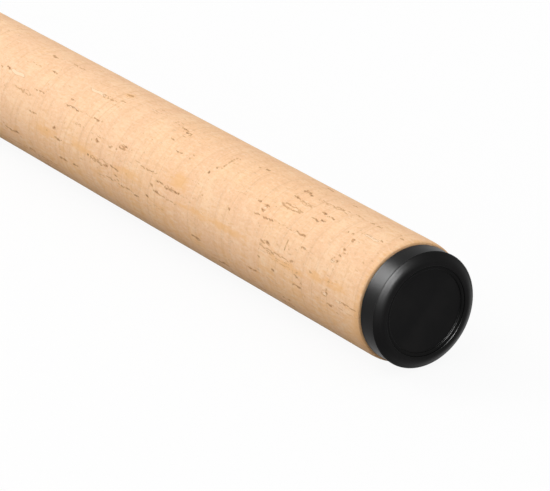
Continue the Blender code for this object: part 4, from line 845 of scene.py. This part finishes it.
def grips():
    """The rear grip in four runs of rings, and the fore grip in one."""
    luck = np.random.default_rng(11)
    more = scatter(luck, GRIP_REAR, GRIP_FRONT, 90, REAR_JOINTS)
    more = [m for m in more if not (-34.0 < m[2] < 116.0 and m[0] < 150.0)]
    more += specks(luck, GRIP_REAR, GRIP_FRONT, 900)
    loops = [tuple(luck.uniform(low, high) for low, high in LOOP_RANGES) for _ in range(30)]
    drawn = (LENTICELS + more, LOOPS + loops, FILLS, AMBER_AND_PAINTED_SHADE, RING_SHADES)
    for i, (low, high) in enumerate(zip(REAR_CUTS, REAR_CUTS[1:]), 1):
        name = f"rear_grip_rings_{i}"
        cork_rings(name, low, high, rear_grip_radius, GRIP_BORE, REAR_JOINTS, drawn, 5, "rear_grip")
    more = scatter(luck, FORE_REAR, FORE_FRONT, 22, FORE_JOINTS) + specks(luck, FORE_REAR, FORE_FRONT, 180)
    amber_and_painted_shade_marks = [(380.0, 60.0, 20.0, 4.0), (401.0, -120.0, 18.0, 5.0)]
    loops = [(375.0, 20.0, 4.0, 0.9), (391.0, 70.0, 5.0, 1.0), (404.0, -60.0, 3.0, 0.8)]
    drawn = (more, loops, [(390.0, -40.0, 4.0, 1.0)], amber_and_painted_shade_marks, [0.3, 0.7, 0.2, 0.8, 0.4])
    name, size = "fore_grip_rings", fore_grip_radius
    cork_rings(name, FORE_REAR, FORE_FRONT, size, FORE_BORE, FORE_JOINTS, drawn, 9, "fore_grip")


grips()


def grooved(low, high, radius, soft, middles, reach, floor_radius, edge=0.1, bottom=0.1):
    """Corners along a ring's skin, with a groove of V section, eased, at each of the given places."""
    corners = [(low, radius, soft)]
    for middle in middles:
        corners += [(middle - reach, radius, edge), (middle, floor_radius, bottom)]
        corners.append((middle + reach, radius, edge))
    return corners + [(high, radius, soft)]


def trim_ring(name, low, high, radius, bore):
    """A black ring at a grip's front end, with eased edges and one fine groove round its middle."""
    skin = grooved(low, high, radius, 0.7, [(low + high) / 2.0], 0.3, radius - 0.3)
    piece(name, [turned_ring([(low, bore, 0.1), *skin, (high, bore, 0.1)], 144)], ANODISED, "handle")


trim_ring("rear_trim_ring", 245.85, 249.35, 12.9, 9.12)
trim_ring("front_trim_ring", 417.25, 420.75, 10.8, 8.85)

# Reel seat

SEAT_REAR, SEAT_FRONT, SEAT_RADIUS, SEAT_BORE = 249.65, 361.65, 11.3, 10.2
FLANGE_FRONT, FLANGE_RADIUS = SEAT_REAR + 3.0, 12.6
DECK_REAR, DECK_FRONT, DECK_HEIGHT, DECK_HALF = 279.95, 309.95, 11.9, 6.4
KEYWAY_DEPTH, KEYWAY_HALF = 0.0006, math.radians(7.6)
HOOD_LENGTH, HOOD_BORE, HOOD_RING, HOOD_CREST, HOOD_WALL, HOOD_SOFT = 26.0, 11.6, 13.0, 20.0, 1.3, 0.6
HOOD_SPREAD, POCKET_SPREAD = math.radians(45.0), math.radians(43.0)
POCKET_DEPTH, POCKET_SIDE = 18.0, 11.0
KEY_RADIUS, KEY_HALF = 11.0, math.radians(6.3)


def from_guides(turn):
    """The turn counted from -Y, where the guides are, from minus half a turn to half a turn."""
    return np.mod(turn + math.pi / 2.0 + math.pi, FULL_TURN) - math.pi


def reel_seat():
    """The barrel with its flange, the flat foot deck, the keyway opposite it and the nut's thread.

    The deck's section is the lesser of height / cos b and half width / sin b, where b is the turn from
    -Y, wherever that is outside the barrel. Rows and columns crowd where the deck, the keyway and the
    thread begin and end.
    """
    corners = [
        (SEAT_REAR, SEAT_BORE, 0.1), (SEAT_REAR, FLANGE_RADIUS, 0.5), (FLANGE_FRONT, FLANGE_RADIUS, 0.5),
        (FLANGE_FRONT, SEAT_RADIUS, 0.15), (SEAT_FRONT, SEAT_RADIUS, 0.5), (SEAT_FRONT, SEAT_BORE, 0.1),
    ]
    outline = eased(corners, True)
    below_skin = (SEAT_RADIUS - 0.001) * MM
    rows = ((279.75, 281.0, 0.12), (281.0, 309.0, 1.4), (309.0, 310.3, 0.12), (311.2, 360.8, 0.15))
    extra = np.concatenate([np.arange(*row) for row in rows])
    extra = np.stack([extra, np.full(len(extra), SEAT_RADIUS)], axis=1) * MM
    on_skin = (outline[:, 1] > below_skin) & (outline[:, 0] > FLANGE_FRONT * MM)
    skin = np.concatenate([outline[on_skin], extra])
    skin = skin[np.argsort(skin[:, 0])]
    first, *_, last = np.flatnonzero(on_skin)
    outline = np.concatenate([outline[:first], skin, outline[last + 1 :]])
    edges, about = np.radians([28.3, 34.5, -28.3, -34.5])[:, None], np.radians(np.linspace(-1.2, 1.2, 7))
    deck_sides = (edges + about).ravel() - math.pi / 2.0
    keyway_sides = math.pi / 2.0 + np.radians([-8.6, -7.8, -7.5, -7.2, 7.2, 7.5, 7.8, 8.6])
    turn = np.sort(np.mod(np.concatenate([once_round(150), deck_sides, keyway_sides]), FULL_TURN))

    def relief(x, turn, radius):
        """The rise of the deck, less the keyway or the thread, whichever is deeper."""
        b = np.abs(from_guides(turn))
        top = DECK_HEIGHT * MM / np.cos(np.minimum(b, 1.2))
        side = DECK_HALF * MM / np.sin(np.clip(b, 0.05, math.pi / 2.0))
        here = ramp(x, DECK_REAR * MM - 0.0001, DECK_REAR * MM + 0.0004)
        here = here * ramp(-x, -DECK_FRONT * MM - 0.0001, 0.0004 - DECK_FRONT * MM)
        raised = np.maximum(np.minimum(top, side) - radius, 0.0) * here
        groove = -KEYWAY_DEPTH * (np.abs(b - math.pi) < KEYWAY_HALF) * ramp(x, 0.3099, 0.3103)
        cut = thread(x, turn, *SEAT_THREAD)
        plain = (x > (SEAT_REAR + 3.05) * MM) & (radius > below_skin)
        return np.where(plain, raised + np.minimum(groove, cut), 0.0)

    piece("reel_seat_body", [close_grid(turned(outline, turn, relief), True)], SEAT, "handle")


def swell(along, b, side, wall, spread):
    """side + (crest - wall - side) exp(-(b / spread)^4), at a length along a hood and a turn b from -Y.

    The crest is the ring's radius plus the rise times 1 - (1 - t)^2, where t is the way along past the
    first 8% of the hood.
    """
    t = np.clip((along / HOOD_LENGTH - 0.08) / 0.92, 0.0, 1.0)
    crest = HOOD_RING + (HOOD_CREST - HOOD_RING) * (1.0 - (1.0 - t) ** 2)
    return side + (crest - wall - side) * np.exp(-((b / spread) ** 4))


def hood(name, closed_end, mouth, body, key):
    """A hood and its liner: a ring that swells towards -Y into a pocket for the reel's foot.

    Outside, the radius is the swell from the ring, eased at both ends by a quarter circle. Inside it is
    the bore, or in the pocket the swell less the wall where that is more. A key runs in the keyway.
    """
    way = 1.0 if mouth > closed_end else -1.0
    turn = once_round(168)[None, :]
    b = from_guides(turn)
    rim = HOOD_SOFT * (1.0 - np.cos(np.linspace(0.0, math.pi / 2.0, 7)))
    plain = np.linspace(HOOD_SOFT, HOOD_LENGTH - HOOD_SOFT, 40)[1:-1]
    out = np.concatenate([rim, plain, HOOD_LENGTH - rim[::-1]])[:, None]
    edge = HOOD_SOFT * quarter_fall(np.minimum(out, HOOD_LENGTH - out), HOOD_SOFT)
    outer = swell(out, b, HOOD_RING, 0.0, HOOD_SPREAD) - edge
    end = HOOD_LENGTH - POCKET_DEPTH
    inside = [[HOOD_LENGTH, HOOD_LENGTH - 0.15], np.linspace(HOOD_LENGTH - 0.4, end + 0.3, 22)]
    inside = np.concatenate([*inside, [end + 0.15, end, end - 0.1], np.linspace(end - 0.4, 0.0, 5)])
    inside = inside[:, None]
    pocket = np.maximum(swell(inside, b, POCKET_SIDE, HOOD_WALL, POCKET_SPREAD), HOOD_BORE)
    inner = HOOD_BORE + (pocket - HOOD_BORE) * ramp(inside, end - 0.05, end + 0.25)
    if key:
        behind = np.abs(np.abs(b) - math.pi) < KEY_HALF
        inner = np.where(behind & (inside > 0.8) & (inside < end - 0.1), KEY_RADIUS, inner)
    x = closed_end + way * np.concatenate([out, inside])
    radius = np.concatenate([outer, inner])
    points = np.stack([x + 0.0 * turn, radius * np.sin(turn), radius * np.cos(turn)], axis=-1) * MM
    piece(name, [close_grid(points, True)], STEEL, body, sharp=40.0)

    # The liner is a sheet from 0.3 to 1.1 mm inside the pocket's wall, with its edges eased.
    low, high = sorted((mouth - way * (POCKET_DEPTH - 2.0), mouth - way * 1.0))
    b = np.radians(np.linspace(-33.0, 33.0, 41))[:, None]
    along = np.linspace(low, high, 12)
    loop = np.concatenate([along, along[::-1]])[None, :]
    depth = np.repeat([0.3, 1.1], 12)[None, :]
    depth[0, [0, 11]] += 0.15
    depth[0, [12, 23]] -= 0.15
    radius = swell(np.abs(loop - closed_end), b, POCKET_SIDE, HOOD_WALL, POCKET_SPREAD) - depth / np.cos(b)
    points = np.stack([loop + 0.0 * b, -radius * np.cos(b), radius * np.sin(b)], axis=-1) * MM
    piece(name + "_liner", [close_grid(points)], LINER, body)


def lock_nut():
    """The nut: eighteen rounded flutes between two plain edges, on a plain bore.

    A flute's depth is 0.6 mm times a smooth step of cos(18 turn), and runs out from 2 to 1.1 mm from
    each end.
    """
    low, high, radius, flutes, flute_depth = 339.25, 350.25, 13.7, 18.0, 0.0006
    corners = [(low, HOOD_BORE, 0.3), (low, radius, 0.8), (high, radius, 0.8), (high, HOOD_BORE, 0.3)]
    profile = eased(corners, True)
    body = np.stack([np.linspace(low + 0.9, high - 0.9, 36), np.full(36, radius)], axis=1) * MM
    at = np.flatnonzero((profile[:, 0] < (low + high) / 2.0 * MM))[-1] + 1
    profile = np.concatenate([profile[:at], body, profile[at:]])

    def relief(x, turn, radius):
        """Minus the depth of a flute, on the outside alone."""
        flute = ramp(np.cos(flutes * turn), -0.15, 0.75) * ramp(x, (low + 1.1) * MM, (low + 2.0) * MM)
        flute = flute * ramp(-x, (1.1 - high) * MM, (2.0 - high) * MM)
        return np.where(radius > 0.0132, -flute_depth * flute, 0.0)

    piece("lock_nut", [close_grid(turned(profile, once_round(360), relief), True)], ANODISED, "nut")


reel_seat()
hood("fixed_hood", 252.95, 278.95, "handle", False)
hood("sliding_hood", 338.95, 312.95, "hood", True)
lock_nut()

# Tubes

# Each tube: its body, its radius at the rear and at the front, and its wall. The tip section is solid.
SECTIONS = {
    "butt_blank": ("handle", 9.2, 8.4, 1.0),
    "section_2": ("section_2", 7.186, 6.399, 0.8),
    "section_3": ("section_3", 5.371, 4.556, 0.7),
    "section_4": ("section_4", 3.628, 2.772, 0.6),
    "section_5": ("section_5", 1.944, 0.833, 0.0),
}


def box_mm(node):
    """Lowest and highest corner of a CAD node, in millimetres."""
    low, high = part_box(node)
    return np.array(low) / MM, np.array(high) / MM


def tube(name, body, rear, front, wall):
    """A tapered tube between its node's ends, or a solid one where its wall is nothing."""
    low, high = (corner[0] for corner in box_mm(name))
    inner_rear, inner_front, cut = (rear - wall, front - wall, 0.1) if wall else (0.1, 0.1, 0.0)
    corners = [(low, inner_rear, cut), (low, rear, 0.15), (high, front, 0.15), (high, inner_front, cut)]
    profile = eased(corners, bool(wall), 4)
    piece(name, [close_grid(turned(profile, once_round(96)), bool(wall))], GRAPHITE, body)


def winding():
    """Thread wound up to the ferrule ring: the coat's swell plus a ridge for each turn of thread.

    The swell is 0.55 mm times sin(0.95 pi t)^0.4 at a share t of the way along. A ridge is 0.05 mm times
    the absolute sine of the place along x and round the tube.
    """
    low, high, foot, rise, ridge_height = 472.7, 494.7, 8.57, 0.55, 0.00005
    t = np.linspace(0.0, 1.0, 330)
    skin = foot + rise * np.sin(math.pi * np.clip(t * 0.95 + 0.004, 0.0, 1.0)) ** 0.4
    profile = np.stack([[*(low + (high - low) * t), high, low], [*skin, 8.5, 8.54]], axis=1) * MM

    def relief(x, turn, radius):
        """The height of a ridge, on the outside alone."""
        ridge = np.abs(np.sin(math.pi * (x / WOUND_PITCH + turn / FULL_TURN)))
        return np.where(radius > 0.00862, ridge_height * ridge, 0.0)

    piece("butt_winding", [close_grid(turned(profile, once_round(96), relief), True)], WINDING, "handle")


def ferrule():
    """The black ring at the butt section's front end, with two fine grooves."""
    low, high = 495.0, 505.0
    skin = grooved(low, high, 9.3, 0.25, (497.0, 503.0), 0.25, 9.12, 0.05, 0.08)
    corners = [(low, 8.45, 0.05), *skin, (high, 8.42, 0.05)]
    piece("butt_ferrule_ring", [turned_ring(corners, 120)], ANODISED, "handle")


for name, sizes in SECTIONS.items():
    tube(name, *sizes)
winding()
ferrule()

# Line guides

# Each guide: body, tube's ends in x and its radius, the ring's x and its drop below the axis, the hole's
# radius, the band's outer radius and width, the insert's width, and the wire's radius. All in millimetres.
GUIDES = {
    "guide_2": ("section_2", 505.3, 525.0, 7.331, 516.135, 23.931, 9.8, 14.0, 2.6, 3.9, 1.05),
    "guide_3": ("section_3", 525.3, 543.0, 5.484, 535.035, 17.184, 6.2, 9.5, 2.2, 3.15, 0.9),
    "floating_guide_a": ("float_a", 543.3, 553.3, 4.084, 548.8, 13.284, 4.6, 7.4, 2.0, 2.75, 0.75),
    "guide_4": ("section_4", 553.6, 568.3, 3.695, 561.685, 11.595, 3.8, 6.3, 1.8, 2.45, 0.7),
    "floating_guide_b": ("float_b", 568.6, 576.6, 2.263, 573.0, 8.863, 3.0, 5.2, 1.6, 2.15, 0.6),
}
GUIDE_WALL = 0.6
LEG_SPREAD, LEG_RISE = math.radians(38.0), math.radians(62.0)


def sleeve(low, high, outer, inner, soft, columns=72, axis_y=0.0):
    """A plain ring or short tube with eased edges, about the rod's axis or one beside it."""
    corners = [(low, inner, soft * 0.6), (low, outer, soft), (high, outer, soft), (high, inner, soft * 0.6)]
    return turned_ring(corners, columns, axis_y=axis_y * MM)


def line_ring(name, x, drop, hole, outer, width, body):
    """The ceramic ring: an oval section, as wide as the insert, turned about the hole's axis."""
    a = once_round(28)
    middle, depth = (hole + outer) / 2.0, (outer - hole) / 2.0
    section = np.stack([x + width / 2.0 * np.sin(a), middle - depth * np.cos(a)], axis=1) * MM
    piece(name, [close_grid(turned(section, once_round(84), axis_y=-drop * MM), True)], CERAMIC, body)


def guide(name, body, low, high, radius, ring_x, drop, hole, outer, band, insert, wire):
    """A guide's tube, band, two bent legs and strut, with its ceramic ring.

    The legs are cubic curves from the rear of the tube, 38 degrees each side of -Y, to the band, 62
    degrees each side of its near point. The strut runs from the tube's front to the band's near point.
    """
    inner = outer - band / 2.0
    parts = [sleeve(low, high, radius, radius - GUIDE_WALL, 0.22)]
    parts.append(sleeve(ring_x - band / 2.0, ring_x + band / 2.0, outer, inner, band * 0.24, 96, -drop))
    foot_radius, hold, run = radius + wire * 0.15, outer - wire * 0.6, high - low
    for side in (-1.0, 1.0):
        foot = [low + wire, -foot_radius * math.cos(LEG_SPREAD), side * foot_radius * math.sin(LEG_SPREAD)]
        top = [ring_x, hold * math.cos(LEG_RISE) - drop, side * hold * math.sin(LEG_RISE)]
        near_foot = [foot[0] + run * 0.45, *foot[1:]]
        near_top = [ring_x - wire, (foot[1] + top[1]) / 2.0, side * outer * math.sin(LEG_RISE)]
        parts.append(bent_wire(foot, near_foot, near_top, top, wire))
    foot, top = [high - wire, -foot_radius, 0.0], [ring_x, hold - drop, 0.0]
    near_foot = [foot[0] - run * 0.27, *foot[1:]]
    near_top = [ring_x + wire, foot[1] + (top[1] - foot[1]) * 0.4, 0.0]
    parts.append(bent_wire(foot, near_foot, near_top, top, wire))
    piece(name + "_frame", parts, WIRE, body)
    line_ring(name + "_ring", ring_x, drop, hole, inner - 0.02, insert, body)


def tip_guide():
    """The tip's tube over the end of the rod, its band, three legs and its ring."""
    low = box_mm("tip_guide_frame")[0][0]
    ring_low, ring_high = (corner[0] for corner in box_mm("tip_guide_ring"))
    ring_x, drop, ring_hole, outer, hold = (ring_low + ring_high) / 2.0, 3.4, 2.6, 4.7, 4.34
    tube_end, radius, bore, hole, end_wall, wire = 589.5, 1.72, 1.15, 0.3, 0.6, 0.6
    corners = [(low, bore, 0.1), (low, radius, 0.2), (tube_end, radius, 0.6), (tube_end, hole, 0.1)]
    corners += [(tube_end - end_wall, hole, 0.1), (tube_end - end_wall, bore, 0.1)]
    parts = [turned_ring(corners, 48)]
    parts.append(sleeve(ring_x - 0.8, ring_x + 0.8, outer, outer - 0.8, 0.35, 72, -drop))
    for degrees in (0.0, 125.0, -125.0):
        y, z = math.cos(math.radians(degrees)), math.sin(math.radians(degrees))
        top_y, top_z = hold * y - drop, hold * z
        foot, near_foot = (tube_end - 6.0, radius * y, radius * z), (tube_end, radius * y, radius * z)
        near_top = (ring_x - (ring_x - tube_end) * 0.4, top_y, top_z)
        parts.append(bent_wire(foot, near_foot, near_top, (ring_x, top_y, top_z), wire))
    piece("tip_guide_frame", parts, WIRE, "section_5")
    width = ring_high - ring_low
    line_ring("tip_guide_ring", ring_x, drop, ring_hole, outer - 0.82, width, "section_5")


for name, sizes in GUIDES.items():
    guide(name, *sizes)
tip_guide()

# Pieces inside, which keep their solids

inside = {"butt_bush": BRASS, "shock_pad": RUBBER}
inside.update({f"seat_arbor_{place}": FOAM for place in ("rear", "middle", "front")})
for node, finish in inside.items():
    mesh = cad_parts[node].data
    mesh.materials.clear()
    mesh.materials.append(finish)

# Floor, light and camera

FLOOR_Z, FLOOR_SIDE = -14.02 * MM, 8.0
FLOOR_GLOW = 0.92
FLOOR_SEEN, FLOOR_UNSEEN = 0.9, 0.13
SKY_SEEN, SKY_FILL = 1.0, 0.77
WHITE = (1.0, 1.0, 1.0, 1.0)
CENTRE = (0.0, 0.0, 0.0)
KEY_FROM = np.array([0.675, 0.43, 0.6])


def in_view(tree, path):
    """1 for a ray from the camera, or one that a shiny or clear surface sends on, and 0 for others."""
    straight, glossy = path.outputs["Is Camera Ray"], path.outputs["Is Glossy Ray"]
    either = add_node(tree, "Math", {0: straight, 1: glossy}, operation="MAXIMUM").outputs[0]
    clear = path.outputs["Is Transmission Ray"]
    return add_node(tree, "Math", {0: either, 1: clear}, operation="MAXIMUM").outputs[0]


def floor():
    """A plain white floor. It shows as white, and a share of its own shading keeps the shadow.

    To other light it is a mid grey, so that little of it reaches the rod from below, as in the photo.
    """
    mesh = bpy.data.meshes.new("floor")
    spots = [(x * FLOOR_SIDE, y * FLOOR_SIDE, FLOOR_Z) for x, y in ((-1, -1), (1, -1), (1, 1), (-1, 1))]
    mesh.from_pydata(spots, [], [(0, 1, 2, 3)])
    made = bpy.data.objects.new("floor", mesh)
    bpy.context.scene.collection.objects.link(made)
    material = bpy.data.materials.new("plain_pale_floor")
    material.use_nodes = True
    tree = material.node_tree
    tree.nodes.clear()
    path = add_node(tree, "LightPath")
    share = add_node(tree, "Math", {0: in_view(tree, path), 1: FLOOR_GLOW}, operation="MULTIPLY").outputs[0]
    glow = add_node(tree, "Emission", {"Color": WHITE}).outputs[0]
    tone = add_node(tree, "MapRange", {0: path.outputs["Is Camera Ray"], 3: FLOOR_UNSEEN, 4: FLOOR_SEEN})
    dull = add_node(tree, "BsdfDiffuse", {"Color": tone.outputs[0]}).outputs[0]
    mixed = add_node(tree, "MixShader", {0: share, 1: dull, 2: glow}).outputs[0]
    add_node(tree, "OutputMaterial", {"Surface": mixed})
    mesh.materials.append(material)


def sky():
    """A white world: as bright as white where it is seen or mirrored, and a soft fill elsewhere."""
    world = bpy.data.worlds.new("studio")
    bpy.context.scene.world = world
    world.use_nodes = True
    tree = world.node_tree
    seen = in_view(tree, add_node(tree, "LightPath"))
    level = add_node(tree, "MapRange", {0: seen, 3: SKY_FILL, 4: SKY_SEEN}).outputs[0]
    join(tree, tree.nodes["Background"].inputs["Color"], WHITE)
    join(tree, tree.nodes["Background"].inputs["Strength"], level)


def stand(name, data, right, up, back, place):
    """Adds a lamp or camera at a place, with its right, up and back directions given."""
    made = bpy.data.objects.new(name, data)
    bpy.context.scene.collection.objects.link(made)
    rows = [[right[i], up[i], back[i], place[i]] for i in range(3)]
    made.matrix_world = Matrix([*rows, [0, 0, 0, 1]])
    return made


def lamp(name, place, target, side, power, gloss_only=False):
    """A square soft lamp at a place, turned to face its target."""
    data = bpy.data.lights.new(name, "AREA")
    data.shape = "RECTANGLE"
    data.size = data.size_y = side
    data.energy = power
    back = np.array(place, float) - np.array(target, float)
    back /= np.linalg.norm(back)
    right = np.cross([0.0, 0.0, 1.0], back)
    right /= np.linalg.norm(right)
    made = stand(name, data, right, np.cross(back, right), back, place)
    made.visible_diffuse = not gloss_only


def camera():
    """The photo's camera, fitted to the grip's edges and the cap's circles."""
    data = bpy.data.cameras.new("camera")
    data.sensor_width = 36.0
    data.lens = 221.3
    data.clip_start = 0.01
    data.clip_end = 50.0
    right, up, back = (-0.5578, -0.83, 0.0), (0.3152, -0.2119, 0.9251), (-0.7678, 0.516, 0.3798)
    bpy.context.scene.camera = stand("camera", data, right, up, back, (-0.5353, 0.3986, 0.2889))


floor()
sky()
lamp("key_soft_light", 1.25 * KEY_FROM, CENTRE, 0.62, 4.5)
lamp("side_soft_light", (0.1, 1.2, 0.25), (0.05, 0.0, 0.0), 0.6, 3.7)
lamp("sheen_on_shiny_parts", 1.3 * KEY_FROM, CENTRE, 0.62, 36.0, gloss_only=True)
lamp("sheen_from_the_front", (-1.08, 0.45, 0.68), CENTRE, 0.64, 124.0, gloss_only=True)
lamp("sheen_from_above", (0.14, 0.79, 1.02), CENTRE, 0.95, 56.0, gloss_only=True)
camera()
bpy.context.scene.view_settings.view_transform = "Standard"

bpy.context.view_layer.update()
